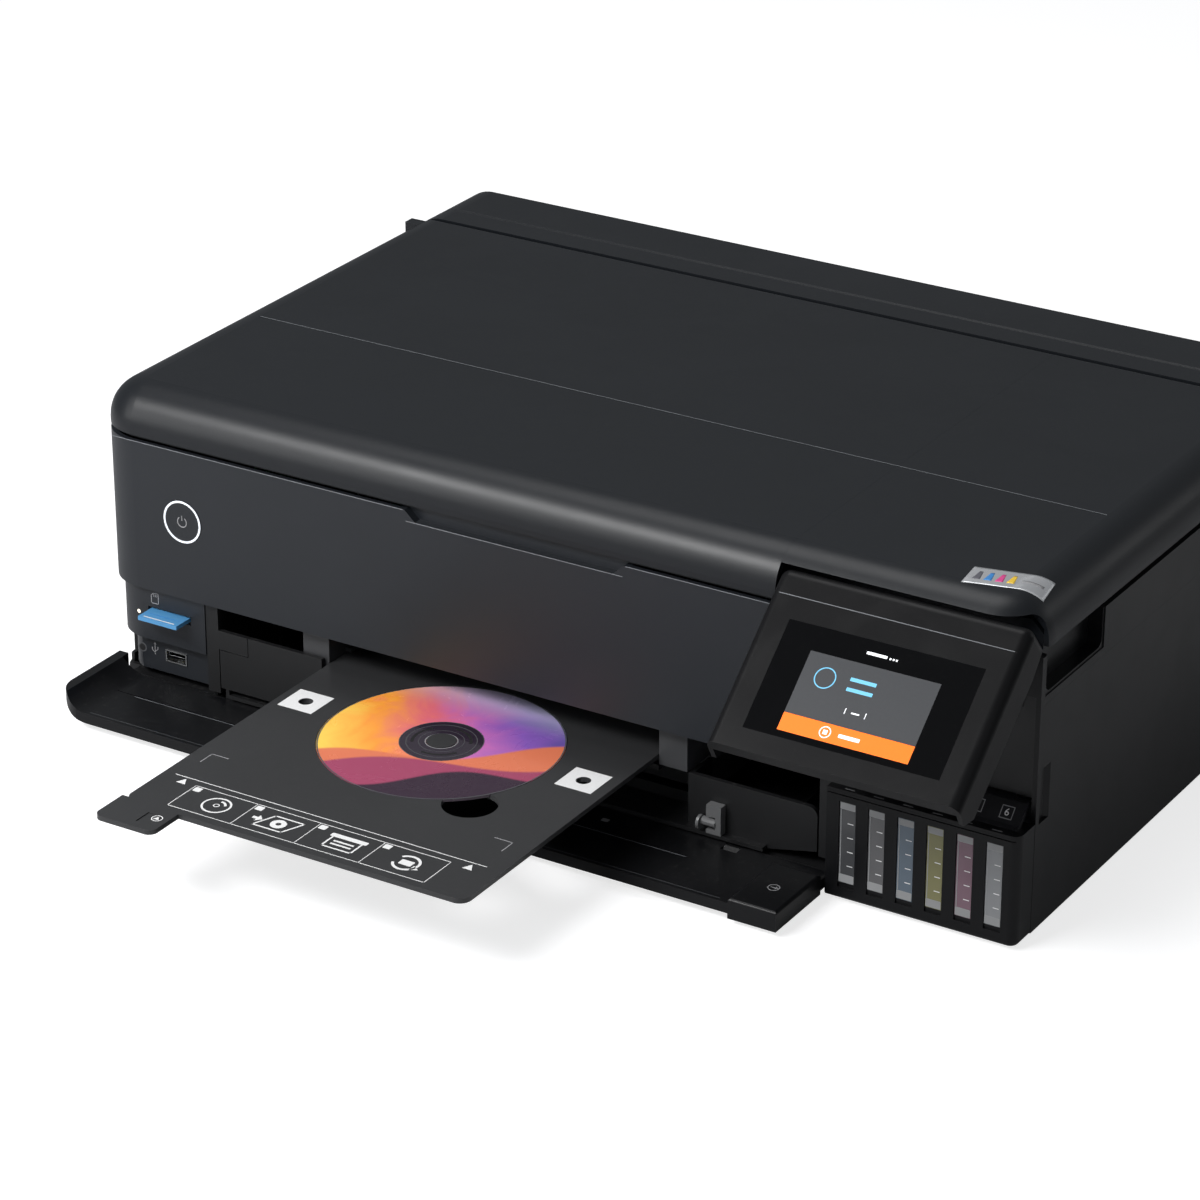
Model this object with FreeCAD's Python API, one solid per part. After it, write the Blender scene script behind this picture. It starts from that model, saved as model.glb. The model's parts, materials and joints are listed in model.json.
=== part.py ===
"""Six-tank photo printer with a scanner on top and a tray for printing on discs.

Millimetres, +Z up.  While the pieces are shaped, X is measured from the middle of the
machine, Y runs backwards from the face of the main front panel and Z starts at the table.
At the end everything moves along Y, so that the origin lies under the middle of the whole
part with the disc tray standing out in front.
"""
import FreeCAD, Part
import math
import os
from FreeCAD import Vector

# ---------------------------------------------------------------- driving dimensions
# casing
body_width = 523.0
body_depth = 345.0
body_height = 169.0
foot_height = 3.0
wall = 2.5
front_corner_radius = 25.0
rear_corner_radius = 8.0
top_roll_radius = 20.0
lift_gap = 0.8
skirt_reveal = 3.0
panel_seam = 0.4
front_panel_bottom = 62.8
front_panel_wrap = 26.0
module_inset = 3.5
rear_bulge = 26.5
half_width = body_width / 2
seam_height = body_height - 25.7
lintel_top = front_panel_bottom + 8.0
stile_top = front_panel_bottom - 3.0

# lifting parts on top
base_inset = 3.0
base_top = body_height - 11.5
base_floor = 2.0
top_seam = 0.6
lid_edge_radius = 4.0
lid_pivot_y = body_depth - 61.0
lid_pivot_z = body_height - lid_edge_radius
lid_stud_radius = 2.0
lid_ear_radius = 2.4
lid_stud_reach = half_width - 5.5
lid_ear_near = lid_stud_reach - 16.0
lid_ear_far = lid_ear_near + 6.0
deck_front = lid_pivot_y + lid_edge_radius + top_seam
deck_back = body_depth - 41.0
deck_relief = 0.8
feeder_front = deck_back + 1.0
scanner_pivot_y = body_depth - 25.0
scanner_pivot_z = body_height - 22.0
scanner_pivot_pin_radius = 2.0
scanner_arm_x = half_width - 22.5
scanner_arm_width = 8.0
glass_length = 316.0
glass_thickness = 2.5
glass_centre_x = -5.0
glass_front = 42.0
glass_back = lid_pivot_y - 16.0
glass_depth = glass_back - glass_front
glass_centre_y = (glass_front + glass_back) / 2
glass_overlap = 5.0
pad_gap = 0.6
pad_thickness = body_height - wall - base_top - glass_thickness - pad_gap
scan_bar_width = 18.0
scan_bar_length = glass_depth - 26.0
scan_bar_height = 7.0
scan_rod_radius = 2.0
scan_rod_z = base_top - 7.9
feeder_pivot_y = body_depth - 4.0
feeder_pivot_z = body_height - 9.0
feeder_stud_radius = 2.0
feeder_ear_near = half_width - 17.3
feeder_ear_far = feeder_ear_near + 3.6
feeder_ear_radius = 3.4

# bay and tilting control panel
panel_width = 128.0
panel_left = half_width - panel_width
front_panel_right = panel_left - 0.5
notch_left = panel_left - 2.0
weld_gap = 0.05
notch_depth = 19.5
notch_top = body_height - 6.5
panel_length = 94.0
panel_thickness = 20.0
panel_closed_front = -7.5
panel_closed_top = body_height - 14.5
panel_wall = 2.5
panel_tilt = 49.0
panel_pivot_down = 7.3
panel_pivot_back = 14.6
panel_shaft_radius = 2.0
panel_head_length = 13.7
panel_arm_width = 8.0
panel_arm_inset = 15.0
screen_left = panel_left + 14.8
screen_right = half_width - 13.9
screen_top = 25.0
screen_length = 55.9
screen_thickness = 1.2
bay_wall_front = notch_depth - 2.0
bay_floor = front_panel_bottom + 7.4

# print mechanism
rail_y = body_depth - 149.0
rail_left = 23.5 - half_width
rail_right = half_width - 9.5
rail_bottom = 56.0
rail_top = seam_height - 17.3
sheet = 2.0
carriage_right = rail_right - 2.0
carriage_left = carriage_right - 95.0
carriage_back = rail_y - 10.0
carriage_front = carriage_back - 58.0
carriage_bottom = 49.0
carriage_top = rail_top - 10.0
head_bottom = 46.6
belt_y = rail_y - 7.5
belt_width = 5.0
belt_thickness = 1.2
belt_z = rail_top - 26.0
pulley_radius = 7.0
pulley_left_x = rail_left + 14.0
pulley_right_x = rail_right - 12.0
pulley_shaft_radius = 1.5

# ink tanks
tank_count = 6
tank_pitch = 15.18
tank_gap = 1.28
tank_last_x = half_width - 12.1
tank_first_x = tank_last_x - tank_pitch * (tank_count - 1)
tank_width = tank_pitch - tank_gap
tank_back = carriage_front - 20.0
tank_bottom = 8.0
tank_shoulder_depth = 24.0
tank_cover_bottom = seam_height - 28.3
tank_cover_thickness = 2.5
tank_cover_front = 32.0
tank_cover_back = tank_back + 4.0
tank_top = tank_cover_bottom - 17.0
window_width = 8.2
window_bottom = 11.3
window_top = 53.3
housing_left = tank_first_x - 11.0
housing_face = -3.0
housing_back = 12.8
housing_bottom = 2.4
housing_top = window_top + 6.4
housing_corner_radius = 4.5
tank_shoulder = housing_top - 3.3
filler_radius = 4.0
filler_y = (tank_shoulder_depth + tank_back) / 2 - 4.0
filler_height = 5.0
cap_radius = 5.6
cap_height = 9.0

# front opening, card module and folded-down cover
side_grip_front = 18.5
side_grip_length = 57.5
side_grip_depth = 8.0
side_grip_bottom = seam_height - 19.3
side_grip_wall = 2.0
left_grip_shift = 14.0
module_right = 63.5 - half_width
module_bottom = 13.0
module_depth = 30.0
card_width = 24.0
card_thickness = 2.1
card_length = 32.0
card_out = 10.5
card_centre_x = 41.4 - half_width
card_centre_z = 49.2
usb_centre_x = 40.5 - half_width
usb_centre_z = 23.2
usb_width = 13.2
usb_height = 6.6
usb_depth = 12.0
usb_recess_top = 32.8
usb_recess_depth = 5.5
frame_left = module_right + 4.0
frame_right = housing_left - 1.0
cover_left = 3.9 - half_width
cover_right = frame_right - 25.5
cover_front = -46.5
cover_back = 4.0
cover_wrap_back = 9.0
cover_wrap_height = 13.0
cover_bottom = 5.0
cover_thickness = 5.5
cover_pivot_y = 2.0
cover_pivot_z = 9.0
cover_pin_radius = 1.2
cover_hinge_left = -150.0
cover_hinge_right = 110.0
cover_block_front = -47.5
cover_block_back = -5.0
cover_block_bottom = 3.0
cover_block_top = 13.4
sill_front = 8.0
sill_back = 16.0
sill_top = 8.5
hinge_gap = 0.4

# power button
button_x = 54.8 - half_width
button_z = seam_height - 37.8
button_radius = 11.5
button_thickness = 3.0
button_stem_radius = 4.0
button_stroke = 1.2
grip_left = -73.8
grip_right = 51.7
grip_bottom = seam_height - 5.5
grip_depth = 4.6

# disc tray and its path through the machine
disc_x = -30.0
disc_y = -34.8
disc_radius = 60.0
disc_thickness = 1.2
disc_hole_radius = 7.5
disc_recess = 1.3
disc_gap = 0.4
tray_left = disc_x - 94.2
tray_right = disc_x + 95.5
tray_top = 45.3
tray_thickness = 2.5
tray_length = 300.0
tray_front = -161.0
tray_back = tray_front + tray_length
tray_tab_reach = 181.5
tray_tab_left = tray_left - 2.2
tray_tab_right = tray_tab_left + 33.8
mark_reach = disc_radius + 19.6
mark_hole_radius = 3.6
path_clearance = 0.35

# rollers
exit_roller_y = carriage_front - 28.0
exit_roller_radius = 5.0
feed_roller_y = rail_y - 4.0
feed_roller_radius = 6.0
pinch_radius = 3.5
star_radius = 5.0
roller_shaft_radius = 2.5
running_clearance = 0.05
frame_wall = 2.5
frame_front = exit_roller_y - 40.0
frame_back = rail_y + 10.0
frame_top = 43.6
frame_head_top = 60.0

# cassettes and output tray
strip_right = frame_left + 3.8
tab_right = strip_right + 17.9
tab_bottom = 37.7
cassette_left = frame_left + 7.2
cassette_right = frame_right - 36.5
cassette_front_right = frame_right - 9.5
cassette_bottom = 11.2
cassette_back = rail_y + 54.0
cassette_wall = 2.0
cassette_rim = 19.0
cassette_left_face = 4.0
cassette_right_face = 8.0
cassette_left_top = 48.0
cassette_right_top = 39.8
recess_left = tray_tab_left - 0.6
recess_right = tray_right + 16.5
recess_back = 27.0
photo_left = recess_left + 5.0
photo_right = recess_right - 4.0
photo_bottom = 21.4
photo_top = 31.4
photo_back = feed_roller_y - 20.0
output_bottom = 36.6
output_thickness = 2.8
output_back = exit_roller_y - 9.0

# rear
support_left = -147.5
support_right = 117.5
support_front = body_depth + 7.0
support_thickness = 3.0
support_bottom = 62.0
support_top = seam_height + 6.7
bulge_left = -190.0
bulge_right = 160.0
bulge_bottom = 14.0
bulge_top = seam_height - 5.3
hopper_left = bulge_left
hopper_right = bulge_right
hopper_back = body_depth - 4.5
hopper_top = seam_height - 2.3
service_left = half_width - 85.5
service_right = half_width - 11.5
service_bottom = 7.0
service_top = 42.0
inlet_left = 21.5 - half_width
inlet_width = 24.0
inlet_bottom = 20.0
inlet_height = 17.0
socket_left = inlet_left - 1.0
socket_right = inlet_left + 25.0
socket_bottom = 66.0
socket_top = 98.0

front_y = (tray_tab_reach - body_depth - rear_bulge) / 2


# ---------------------------------------------------------------- shape helpers
def block(x0, x1, y0, y1, z0, z1):
    """A plain block between two corners."""
    return Part.makeBox(x1 - x0, y1 - y0, z1 - z0, Vector(x0, y0, z0))


def rod_x(radius, x0, x1, y, z):
    """A round bar along X."""
    return Part.makeCylinder(radius, x1 - x0, Vector(x0, y, z), Vector(1, 0, 0))


def rod_y(radius, y0, y1, x, z):
    """A round bar along Y."""
    return Part.makeCylinder(radius, y1 - y0, Vector(x, y0, z), Vector(0, 1, 0))


def rod_z(radius, z0, z1, x, y):
    """A round bar along Z."""
    return Part.makeCylinder(radius, z1 - z0, Vector(x, y, z0), Vector(0, 0, 1))


def side_profile(points, x0, x1):
    """A closed outline of (y, z) points, drawn along X."""
    corners = [Vector(x0, y, z) for y, z in points]
    face = Part.Face(Part.makePolygon(corners + corners[:1]))
    return face.extrude(Vector(x1 - x0, 0, 0))


def plan_profile(points, z0, z1):
    """A closed outline of (x, y) points, drawn along Z."""
    corners = [Vector(x, y, z0) for x, y in points]
    face = Part.Face(Part.makePolygon(corners + corners[:1]))
    return face.extrude(Vector(0, 0, z1 - z0))


def front_profile(points, y0, y1):
    """A closed outline of (x, z) points, drawn along Y."""
    corners = [Vector(x, y0, z) for x, z in points]
    face = Part.Face(Part.makePolygon(corners + corners[:1]))
    return face.extrude(Vector(0, y1 - y0, 0))


def soften(shape, radius, chosen):
    """Round the edges whose middle point passes the test."""
    edges = [edge for edge in shape.Edges if chosen(edge.CenterOfMass, edge)]
    return shape.makeFillet(radius, edges)


def along(edge, direction):
    """True for a straight edge parallel to a direction."""
    if not isinstance(edge.Curve, Part.Line):
        return False
    return abs(abs(edge.Curve.Direction.dot(direction)) - 1) < 1e-6


def upright(edge):
    """True for a straight vertical edge."""
    return along(edge, Vector(0, 0, 1))


def corners_about(sides, radius, p, q):
    """Corners of a regular outline about a point."""
    turns = [2 * math.pi * (step + 0.5) / sides for step in range(sides)]
    return [(p + radius * math.cos(turn), q + radius * math.sin(turn)) for turn in turns]


def joined(pieces):
    """One solid from pieces that touch or overlap."""
    first = pieces[0].fuse(pieces[1:])
    return first.removeSplitter()


# ---------------------------------------------------------------- outer casing
def casing(inset, bottom, top, roll):
    """The machine's outer form, shrunk by an inset, with or without the rolled upper edges."""
    side = half_width - inset
    back = body_depth - inset
    shape = block(-side, side, inset, back, bottom, top)
    corner = front_corner_radius - inset
    shape = soften(shape, corner, lambda c, e: upright(e) and c.y < body_depth / 2)
    if roll:
        radius = top_roll_radius - inset
        shape = soften(shape, radius, lambda c, e: c.z > top - 0.01 and c.y < back - 0.01)
    rear = rear_corner_radius - inset
    if roll:
        edges = [e for e in shape.Edges if e.CenterOfMass.y > back - 0.01 and e.CenterOfMass.z > bottom + 0.01]
        return shape.makeChamfer(0.6 * rear, edges)
    return soften(shape, rear, lambda c, e: c.y > back - 0.01 and upright(e))


def hollow_form(bottom, top):
    """The room inside a rolled shell: upright corners rounded, upper edges chamfered."""
    side = half_width - wall
    shape = block(-side, side, wall, body_depth - wall, bottom, top)
    corner = front_corner_radius - wall
    shape = soften(shape, corner, lambda c, e: upright(e) and c.y < body_depth / 2)
    depth = 0.6 * top_roll_radius
    edges = [e for e in shape.Edges if e.CenterOfMass.z > top - 0.01 and e.CenterOfMass.y < body_depth - wall - 0.01]
    return shape.makeChamfer(depth, edges)


def bore_x(radius, x0, x1, y, z):
    """A bore along X whose flats just clear a round bar of the radius."""
    sides = 16
    return side_profile(corners_about(sides, radius / math.cos(math.pi / sides), y, z), x0, x1)


def lower_shell():
    """The wall of the lower casing, all round."""
    outer = casing(0.0, foot_height, seam_height, False)
    inner = casing(wall, foot_height - 1, seam_height + 1, False)
    return outer.cut(inner)


def side_block(side, near, far, y0, y1, z0, z1):
    """A block between two distances from the middle plane, on one side of the machine."""
    low = min(side * near, side * far)
    high = max(side * near, side * far)
    return block(low, high, y0, y1, z0, z1)


def grip_recess(side, shift):
    """The hollow and the pan of the carrying grip in a side wall."""
    front = side_grip_front + shift
    back = front + side_grip_length
    floor = half_width - side_grip_depth
    cutter = side_block(side, floor, half_width + 1, front, back, side_grip_bottom, seam_height + 1)
    cutter = soften(cutter, 4.0, lambda c, e: along(e, Vector(1, 0, 0)) and c.z < side_grip_bottom + 1)
    pan = side_block(side, floor - side_grip_wall, half_width - 1, front - wall, back + wall,
                     side_grip_bottom - wall, seam_height)
    rim = side_profile(
        [(front - 1.4, seam_height + 1), (front - 1.4, side_grip_bottom - 1.4),
         (back + 1.4, side_grip_bottom - 1.4), (back + 1.4, seam_height + 1)], -0.6, 0.6)
    rim.translate(Vector(side * half_width, 0, 0))
    return cutter.fuse(rim), pan


def side_cover(side):
    """A side cover: lower wall, grip moulding and upper rear wall, and on the right the finger dimple."""
    front = housing_back + panel_seam if side > 0 else front_panel_wrap + panel_seam
    back = body_depth - rear_corner_radius - panel_seam
    shape = side_block(side, half_width - wall, half_width, front, back, foot_height, seam_height)
    cutter, pan = grip_recess(side, 0.0 if side > 0 else left_grip_shift)
    shape = joined([shape, pan]).cut(cutter)
    if side > 0:
        dimple = plan_profile([(half_width + 1, 15.0), (half_width - 1.9, 19.5), (half_width - 1.9, 23.5),
                               (half_width + 1, 28.0)], 58.0, 86.0)
        shape = shape.cut(dimple)
    inner = half_width - wall
    pieces = [shape]
    for step in range(4):
        y = 125.0 + 55.0 * step
        pieces.append(side_block(side, inner - 2.0, inner + 0.5, y, y + 2.0, 24.0, seam_height - 25.3))
    cover = joined(pieces)
    seat = side_grip_bottom - 5.5
    grip_end = side_grip_front + side_grip_length + 6.0 + (0.0 if side > 0 else left_grip_shift)
    near = half_width - 30.0
    far = half_width + 1.0
    below = cover.common(side_block(side, near, far, -10, body_depth, 0, seat - weld_gap))
    grip = cover.common(side_block(side, near, far, -10, grip_end - weld_gap, seat, body_height))
    behind = cover.common(side_block(side, near, far, grip_end, body_depth, seat, body_height))
    return Part.makeCompound([below, grip, behind, rear_corner_post(side)])


def front_panel():
    """The wide front panel with its wrapped corner, grip, button seat and right-hand cheek."""
    shell = lower_shell()
    region = block(-half_width - 1, front_panel_right, -1, front_panel_wrap, front_panel_bottom, seam_height)
    shape = shell.common(region)
    shape = shape.common(block(-half_width - 1, front_panel_right + 1, -1, 60, 0, 200).cut(
        block(-half_width + 40, front_panel_right + 1, wall + 0.01, 60, 0, 200)))
    sleeve = rod_y(button_radius + 2.5, 0.5, 8.0, button_x, button_z)
    cheek = block(front_panel_right - wall, front_panel_right, 0, notch_depth - 2,
                  lintel_top + panel_seam, seam_height)
    grip_back = block(grip_left - 2, grip_right + 2, wall, grip_depth + 2.0, grip_bottom - 6, seam_height)
    shape = joined([shape, sleeve, cheek, grip_back])
    seat = rod_y(button_radius + 0.3, -1, button_thickness + button_stroke + 0.3, button_x, button_z)
    stem_hole = rod_y(button_stem_radius + 0.08, 0, 9, button_x, button_z)
    bevel = 7.0
    grip = front_profile(
        [(grip_left, seam_height + 1), (grip_left + bevel, grip_bottom),
         (grip_right - bevel, grip_bottom), (grip_right, seam_height + 1)], -1, grip_depth)
    return shape.cut(seat).cut(stem_hole).cut(grip)


def front_frame():
    """The frame behind the front panel that rings the paper opening, with the cover's hinge ears."""
    back_face = module_inset + 0.5
    lintel_left = front_corner_radius - half_width + 0.5
    lintel = block(lintel_left, front_panel_right, wall, 10, front_panel_bottom + 0.2, lintel_top)
    lintel_step = block(front_panel_right - 13, front_panel_right, 9.0, 16.0, front_panel_bottom + 0.2,
                        lintel_top - 4)
    post_right = frame_right - 1.0
    lintel_right = block(front_panel_right - 1, post_right, 13.6, 16.0, stile_top - 2.8, lintel_top - 4)
    strip = block(module_right + panel_seam, strip_right, back_face, back_face + wall,
                  module_bottom, front_panel_bottom + 2)
    tab = block(strip_right - 1, tab_right, back_face, back_face + wall, tab_bottom, cassette_left_top)
    flange = block(module_right + panel_seam, module_right + panel_seam + wall, back_face, frame_front + 1,
                   module_bottom, front_panel_bottom + 2)
    flange = joined([flange, block(module_right + panel_seam, frame_left + 0.5, frame_front - 3, frame_front,
                                   module_bottom, 58)])
    stile = block(post_right - 6.5, post_right, 6, 8.5, 16, stile_top)
    stile_flange = block(post_right - wall, post_right, 6, frame_front, 16, stile_top)
    sill = block(11.5 - half_width, post_right + 0.5, sill_front, sill_back, foot_height, sill_top)
    sill_post = block(post_right - wall, post_right, sill_front, sill_back, sill_top - 1, 17)
    left_post = block(module_right + panel_seam, module_right + panel_seam + wall,
                      sill_front, sill_back, sill_top - 1, module_bottom + 1)
    pieces = [lintel, lintel_step, lintel_right, strip, tab, flange, stile, stile_flange, sill, sill_post,
              left_post]
    for x in (cover_hinge_left, cover_hinge_right):
        ear = side_profile(
            [(sill_front + 1, 4.4), (sill_front + 1, sill_top), (cover_pivot_y, cover_pivot_z + 1.5),
             (cover_pivot_y - 2.6, cover_pivot_z), (cover_pivot_y - 1.0, cover_pivot_z - 2.6),
             (sill_front - 2, 4.4)], x - 4, x + 4)
        pieces.append(ear)
    shape = joined(pieces)
    for x in (cover_hinge_left, cover_hinge_right):
        shape = shape.cut(bore_x(cover_pin_radius, x - 5, x + 5, cover_pivot_y, cover_pivot_z))
    return shape


def card_slot_panel():
    """The corner module with the memory-card slot and the socket for a memory stick."""
    left = -half_width + module_inset - 0.5
    height = front_panel_bottom - panel_seam
    shape = block(left, module_right, module_inset, module_depth, module_bottom, height)
    shape = soften(shape, front_corner_radius - module_inset,
                   lambda c, e: upright(e) and c.x < left + 1 and c.y < module_inset + 1)
    recess_back = module_inset + usb_recess_depth
    recess = block(left - 1, module_right + 1, -1, recess_back, module_bottom - 1, usb_recess_top)
    inner = block(left + usb_recess_depth, module_right + 1, recess_back - 1, module_depth + 1,
                  module_bottom - 1, usb_recess_top)
    inner = soften(inner, front_corner_radius - module_inset - usb_recess_depth,
                   lambda c, e: upright(e) and c.x < left + usb_recess_depth + 1 and c.y < recess_back)
    skin = block(left - 1, module_right + 1, recess_back - 3, module_depth + 1, module_bottom - 1,
                 usb_recess_top).cut(inner)
    shape = shape.cut(recess).cut(skin)
    slot = block(card_centre_x - card_width / 2 - 0.4, card_centre_x + card_width / 2 + 0.4,
                 -1, module_depth - 2, card_centre_z - card_thickness / 2 - 0.3,
                 card_centre_z + card_thickness / 2 + 0.3)
    mouth = block(card_centre_x - card_width / 2 - 1.4, card_centre_x + card_width / 2 + 1.4,
                  -1, module_inset + 1.2, card_centre_z - card_thickness / 2 - 1.3,
                  card_centre_z + card_thickness / 2 + 1.3)
    socket = block(usb_centre_x - usb_width / 2, usb_centre_x + usb_width / 2, -1, recess_back + usb_depth,
                   usb_centre_z - usb_height / 2, usb_centre_z + usb_height / 2)
    lamp = front_profile(corners_about(10, 1.2, 21.8 - half_width, card_centre_z - 2.3), -1, module_inset + 1.0)
    return shape.cut(slot).cut(mouth).cut(socket).cut(lamp)


def usb_port():
    """The folded metal shell of the memory-stick socket with its contact tongue."""
    face = module_inset + usb_recess_depth
    shell_wall = 0.6
    outer = block(usb_centre_x - usb_width / 2, usb_centre_x + usb_width / 2, face - 0.6, face + usb_depth,
                  usb_centre_z - usb_height / 2, usb_centre_z + usb_height / 2)
    hollow = block(usb_centre_x - usb_width / 2 + shell_wall, usb_centre_x + usb_width / 2 - shell_wall,
                   face - 1, face + usb_depth - 1,
                   usb_centre_z - usb_height / 2 + shell_wall, usb_centre_z + usb_height / 2 - shell_wall)
    tongue = block(usb_centre_x - 5.2, usb_centre_x + 5.2, face + 0.6, face + usb_depth - 0.5,
                   usb_centre_z + 0.2, usb_centre_z + 2.0)
    return joined([outer.cut(hollow), tongue])


def memory_card():
    """A memory card with its cut corner, standing half out of the slot."""
    x0 = card_centre_x - card_width / 2
    x1 = card_centre_x + card_width / 2
    front = module_inset - card_out
    back = front + card_length
    outline = [(x0, front), (x1, front), (x1, back), (x0 + 4, back), (x0, back - 4)]
    return plan_profile(outline, card_centre_z - card_thickness / 2, card_centre_z + card_thickness / 2)


def power_button():
    """The round power button with its guided stem."""
    disc = rod_y(button_radius, -0.2, button_thickness, button_x, button_z)
    stem = rod_y(button_stem_radius, button_thickness - 1, 10.0, button_x, button_z)
    return joined([disc, stem])


def bottom_frame():
    """The base moulding: floor, rim, cassette runners and the cheeks of the print mechanism."""
    side = half_width - wall
    rim_top = 22.0
    inside = block(-side, side, sill_back, body_depth - wall, 0, rim_top + 10)
    floor = casing(wall, foot_height, foot_height + wall, False).common(inside)
    rim = casing(wall, foot_height, rim_top, False).common(inside)
    rim = rim.cut(block(-side + wall, side - wall, sill_back + wall, body_depth - 2 * wall, 0, rim_top + 1))
    doorway = block(-side - 1, frame_right, sill_back - 1, sill_back + wall + 1, sill_top, rim_top + 1)
    corner_room = block(-side - 1, frame_left, sill_back - 1, module_depth + 1, module_bottom - 0.4, rim_top + 1)
    tank_bay = block(frame_right, side + 1, sill_back - 1, sill_back + wall + 1, foot_height + wall, rim_top + 1)
    service_door = block(service_left - 0.4, service_right + 0.4, body_depth - 8, body_depth,
                         service_bottom, rim_top + 1)
    inlet_room = block(inlet_left - 1, inlet_left + inlet_width + 1, body_depth - 8, body_depth,
                       inlet_bottom - 1, rim_top + 1)
    rim = rim.cut(doorway).cut(corner_room).cut(tank_bay).cut(service_door).cut(inlet_room)
    pieces = [floor, rim]
    for x in (frame_left, frame_right - frame_wall):
        cheek = side_profile(
            [(frame_front, foot_height + 1), (frame_back, foot_height + 1), (frame_back, frame_top),
             (exit_roller_y + 18, frame_top), (exit_roller_y + 18, frame_head_top), (frame_front, frame_head_top)],
            x, x + frame_wall)
        pieces.append(cheek)
    for x in (cassette_left + 2.0, cassette_right - 6.0):
        runner = block(x, x + 4.0, sill_back + wall, cassette_back, foot_height + wall - 0.5, cassette_bottom - 0.4)
        pieces.append(runner)
    for step in range(4):
        y = 60.0 + 60.0 * step
        pieces.append(block(frame_left, frame_right, y, y + 2.0, foot_height + wall - 0.5,
                            foot_height + wall + 2.5))
    shape = joined(pieces)
    clearance_exit = bore_x(roller_shaft_radius + running_clearance, frame_left - 1, frame_right + 1,
                           exit_roller_y, exit_roller_z())
    clearance_feed = bore_x(roller_shaft_radius + running_clearance, frame_left - 1, frame_right + 1,
                           feed_roller_y, feed_roller_z())
    return shape.cut(clearance_exit).cut(clearance_feed)


def rear_frame():
    """The rear wall with its sockets, the slot rails of the paper support and the hinge ears."""
    shell = casing(0.0, foot_height, feeder_pivot_z - 3.0, False)
    inner = casing(wall, foot_height - 1, feeder_pivot_z, False)
    shape = shell.cut(inner)
    back = body_depth - 8.0
    shape = shape.common(block(-half_width - 1, half_width + 1, back, body_depth + 1, foot_height, seam_height))
    head = block(-half_width + wall + 1, half_width - wall - 1, body_depth - wall, body_depth,
                 seam_height - 1, feeder_pivot_z - 4.6)
    pieces = [shape, head]
    for side in (-1, 1):
        for offset in (-1, 1):
            x = side * scanner_arm_x + offset * (scanner_arm_width / 2 + 0.4 + 2.0)
            ear = block(x - 2, x + 2, scanner_pivot_y - 5, body_depth - 1, scanner_pivot_z - 6, scanner_pivot_z + 5)
            pieces.append(ear)
        pieces.append(side_block(side, feeder_ear_near, feeder_ear_far, feeder_pivot_y - feeder_ear_radius,
                                 body_depth - 1, seam_height - 1.3, feeder_pivot_z - 4.6))
        pieces.append(side_block(side, feeder_ear_near, feeder_ear_far, feeder_pivot_y - feeder_ear_radius,
                                 feeder_pivot_y + feeder_ear_radius, seam_height - 1.3, feeder_pivot_z))
        pieces.append(side_bore(side, feeder_ear_radius - 0.1, feeder_ear_near, feeder_ear_far,
                                feeder_pivot_y, feeder_pivot_z))
    rail_depth = support_front + support_thickness - body_depth
    for x, lip in ((support_left, 1), (support_right, -1)):
        outer = block(min(x - lip * 3.0, x + lip * 4.0), max(x - lip * 3.0, x + lip * 4.0),
                      body_depth - 0.5, body_depth + rail_depth + 2.5, support_bottom, bulge_top - 6)
        slot = block(min(x - lip * 0.4, x + lip * 5.0), max(x - lip * 0.4, x + lip * 5.0),
                     support_front - 0.4, support_front + support_thickness + 0.4, support_bottom + 2,
                     bulge_top - 5)
        pieces.append(outer.cut(slot))
    shape = joined(pieces)
    for side in (-1, 1):
        shape = shape.cut(bore_x(scanner_pivot_pin_radius, side * scanner_arm_x - 12, side * scanner_arm_x + 12,
                                scanner_pivot_y, scanner_pivot_z))
        shape = shape.cut(side_bore(side, feeder_stud_radius + running_clearance, feeder_ear_near - 1,
                                   feeder_ear_far + 1, feeder_pivot_y, feeder_pivot_z))
    inlet = block(inlet_left, inlet_left + inlet_width, body_depth - 12, body_depth + 1,
                  inlet_bottom, inlet_bottom + inlet_height)
    data = block(socket_left, socket_right, body_depth - 12, body_depth + 1, socket_bottom, socket_top)
    service = block(service_left, service_right, body_depth - 4, body_depth + 1, service_bottom, service_top)
    jam = block(bulge_left + 8, bulge_right - 8, body_depth - 4, body_depth + 1, 22.0, 58.0)
    return shape.cut(inlet).cut(data).cut(service).cut(jam)


def rubber_feet():
    """Four round rubber feet."""
    feet = []
    for x in (36.5 - half_width, half_width - 36.5):
        for y in (40.0, body_depth - 35.0):
            foot = plan_profile(corners_about(16, 12.5, x, y), 0, foot_height)
            feet.append(foot.makeChamfer(1.0, [e for e in foot.Edges if e.CenterOfMass.z < 0.01]))
    return Part.makeCompound(feet)


def case_screws():
    """Pan-head screws in the rear wall."""
    screws = []
    edge = half_width - 9.5
    high = seam_height - 18.3
    middle = (service_left + service_right) / 2
    for x, z in ((-edge, 20.0), (edge, 20.0), (-edge, high), (edge, high), (middle, service_top + 6.0)):
        head = front_profile(corners_about(12, 3.2, x, z), body_depth, body_depth + 1.8)
        drive = block(x - 2.0, x + 2.0, body_depth + 0.9, body_depth + 2.5, z - 0.4, z + 0.4)
        screws.append(head.cut(drive))
    return Part.makeCompound(screws)


# ---------------------------------------------------------------- scanner unit
def notch(margin):
    """The space the control panel's head needs in the front right corner."""
    space = block(notch_left - margin, half_width + 2, -2, notch_depth + margin, seam_height - 1, notch_top + margin)
    return soften(space, 5.0, lambda c, e: along(e, Vector(1, 0, 0)) and c.z > notch_top - 0.01 and c.y > notch_depth - 1)


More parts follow.
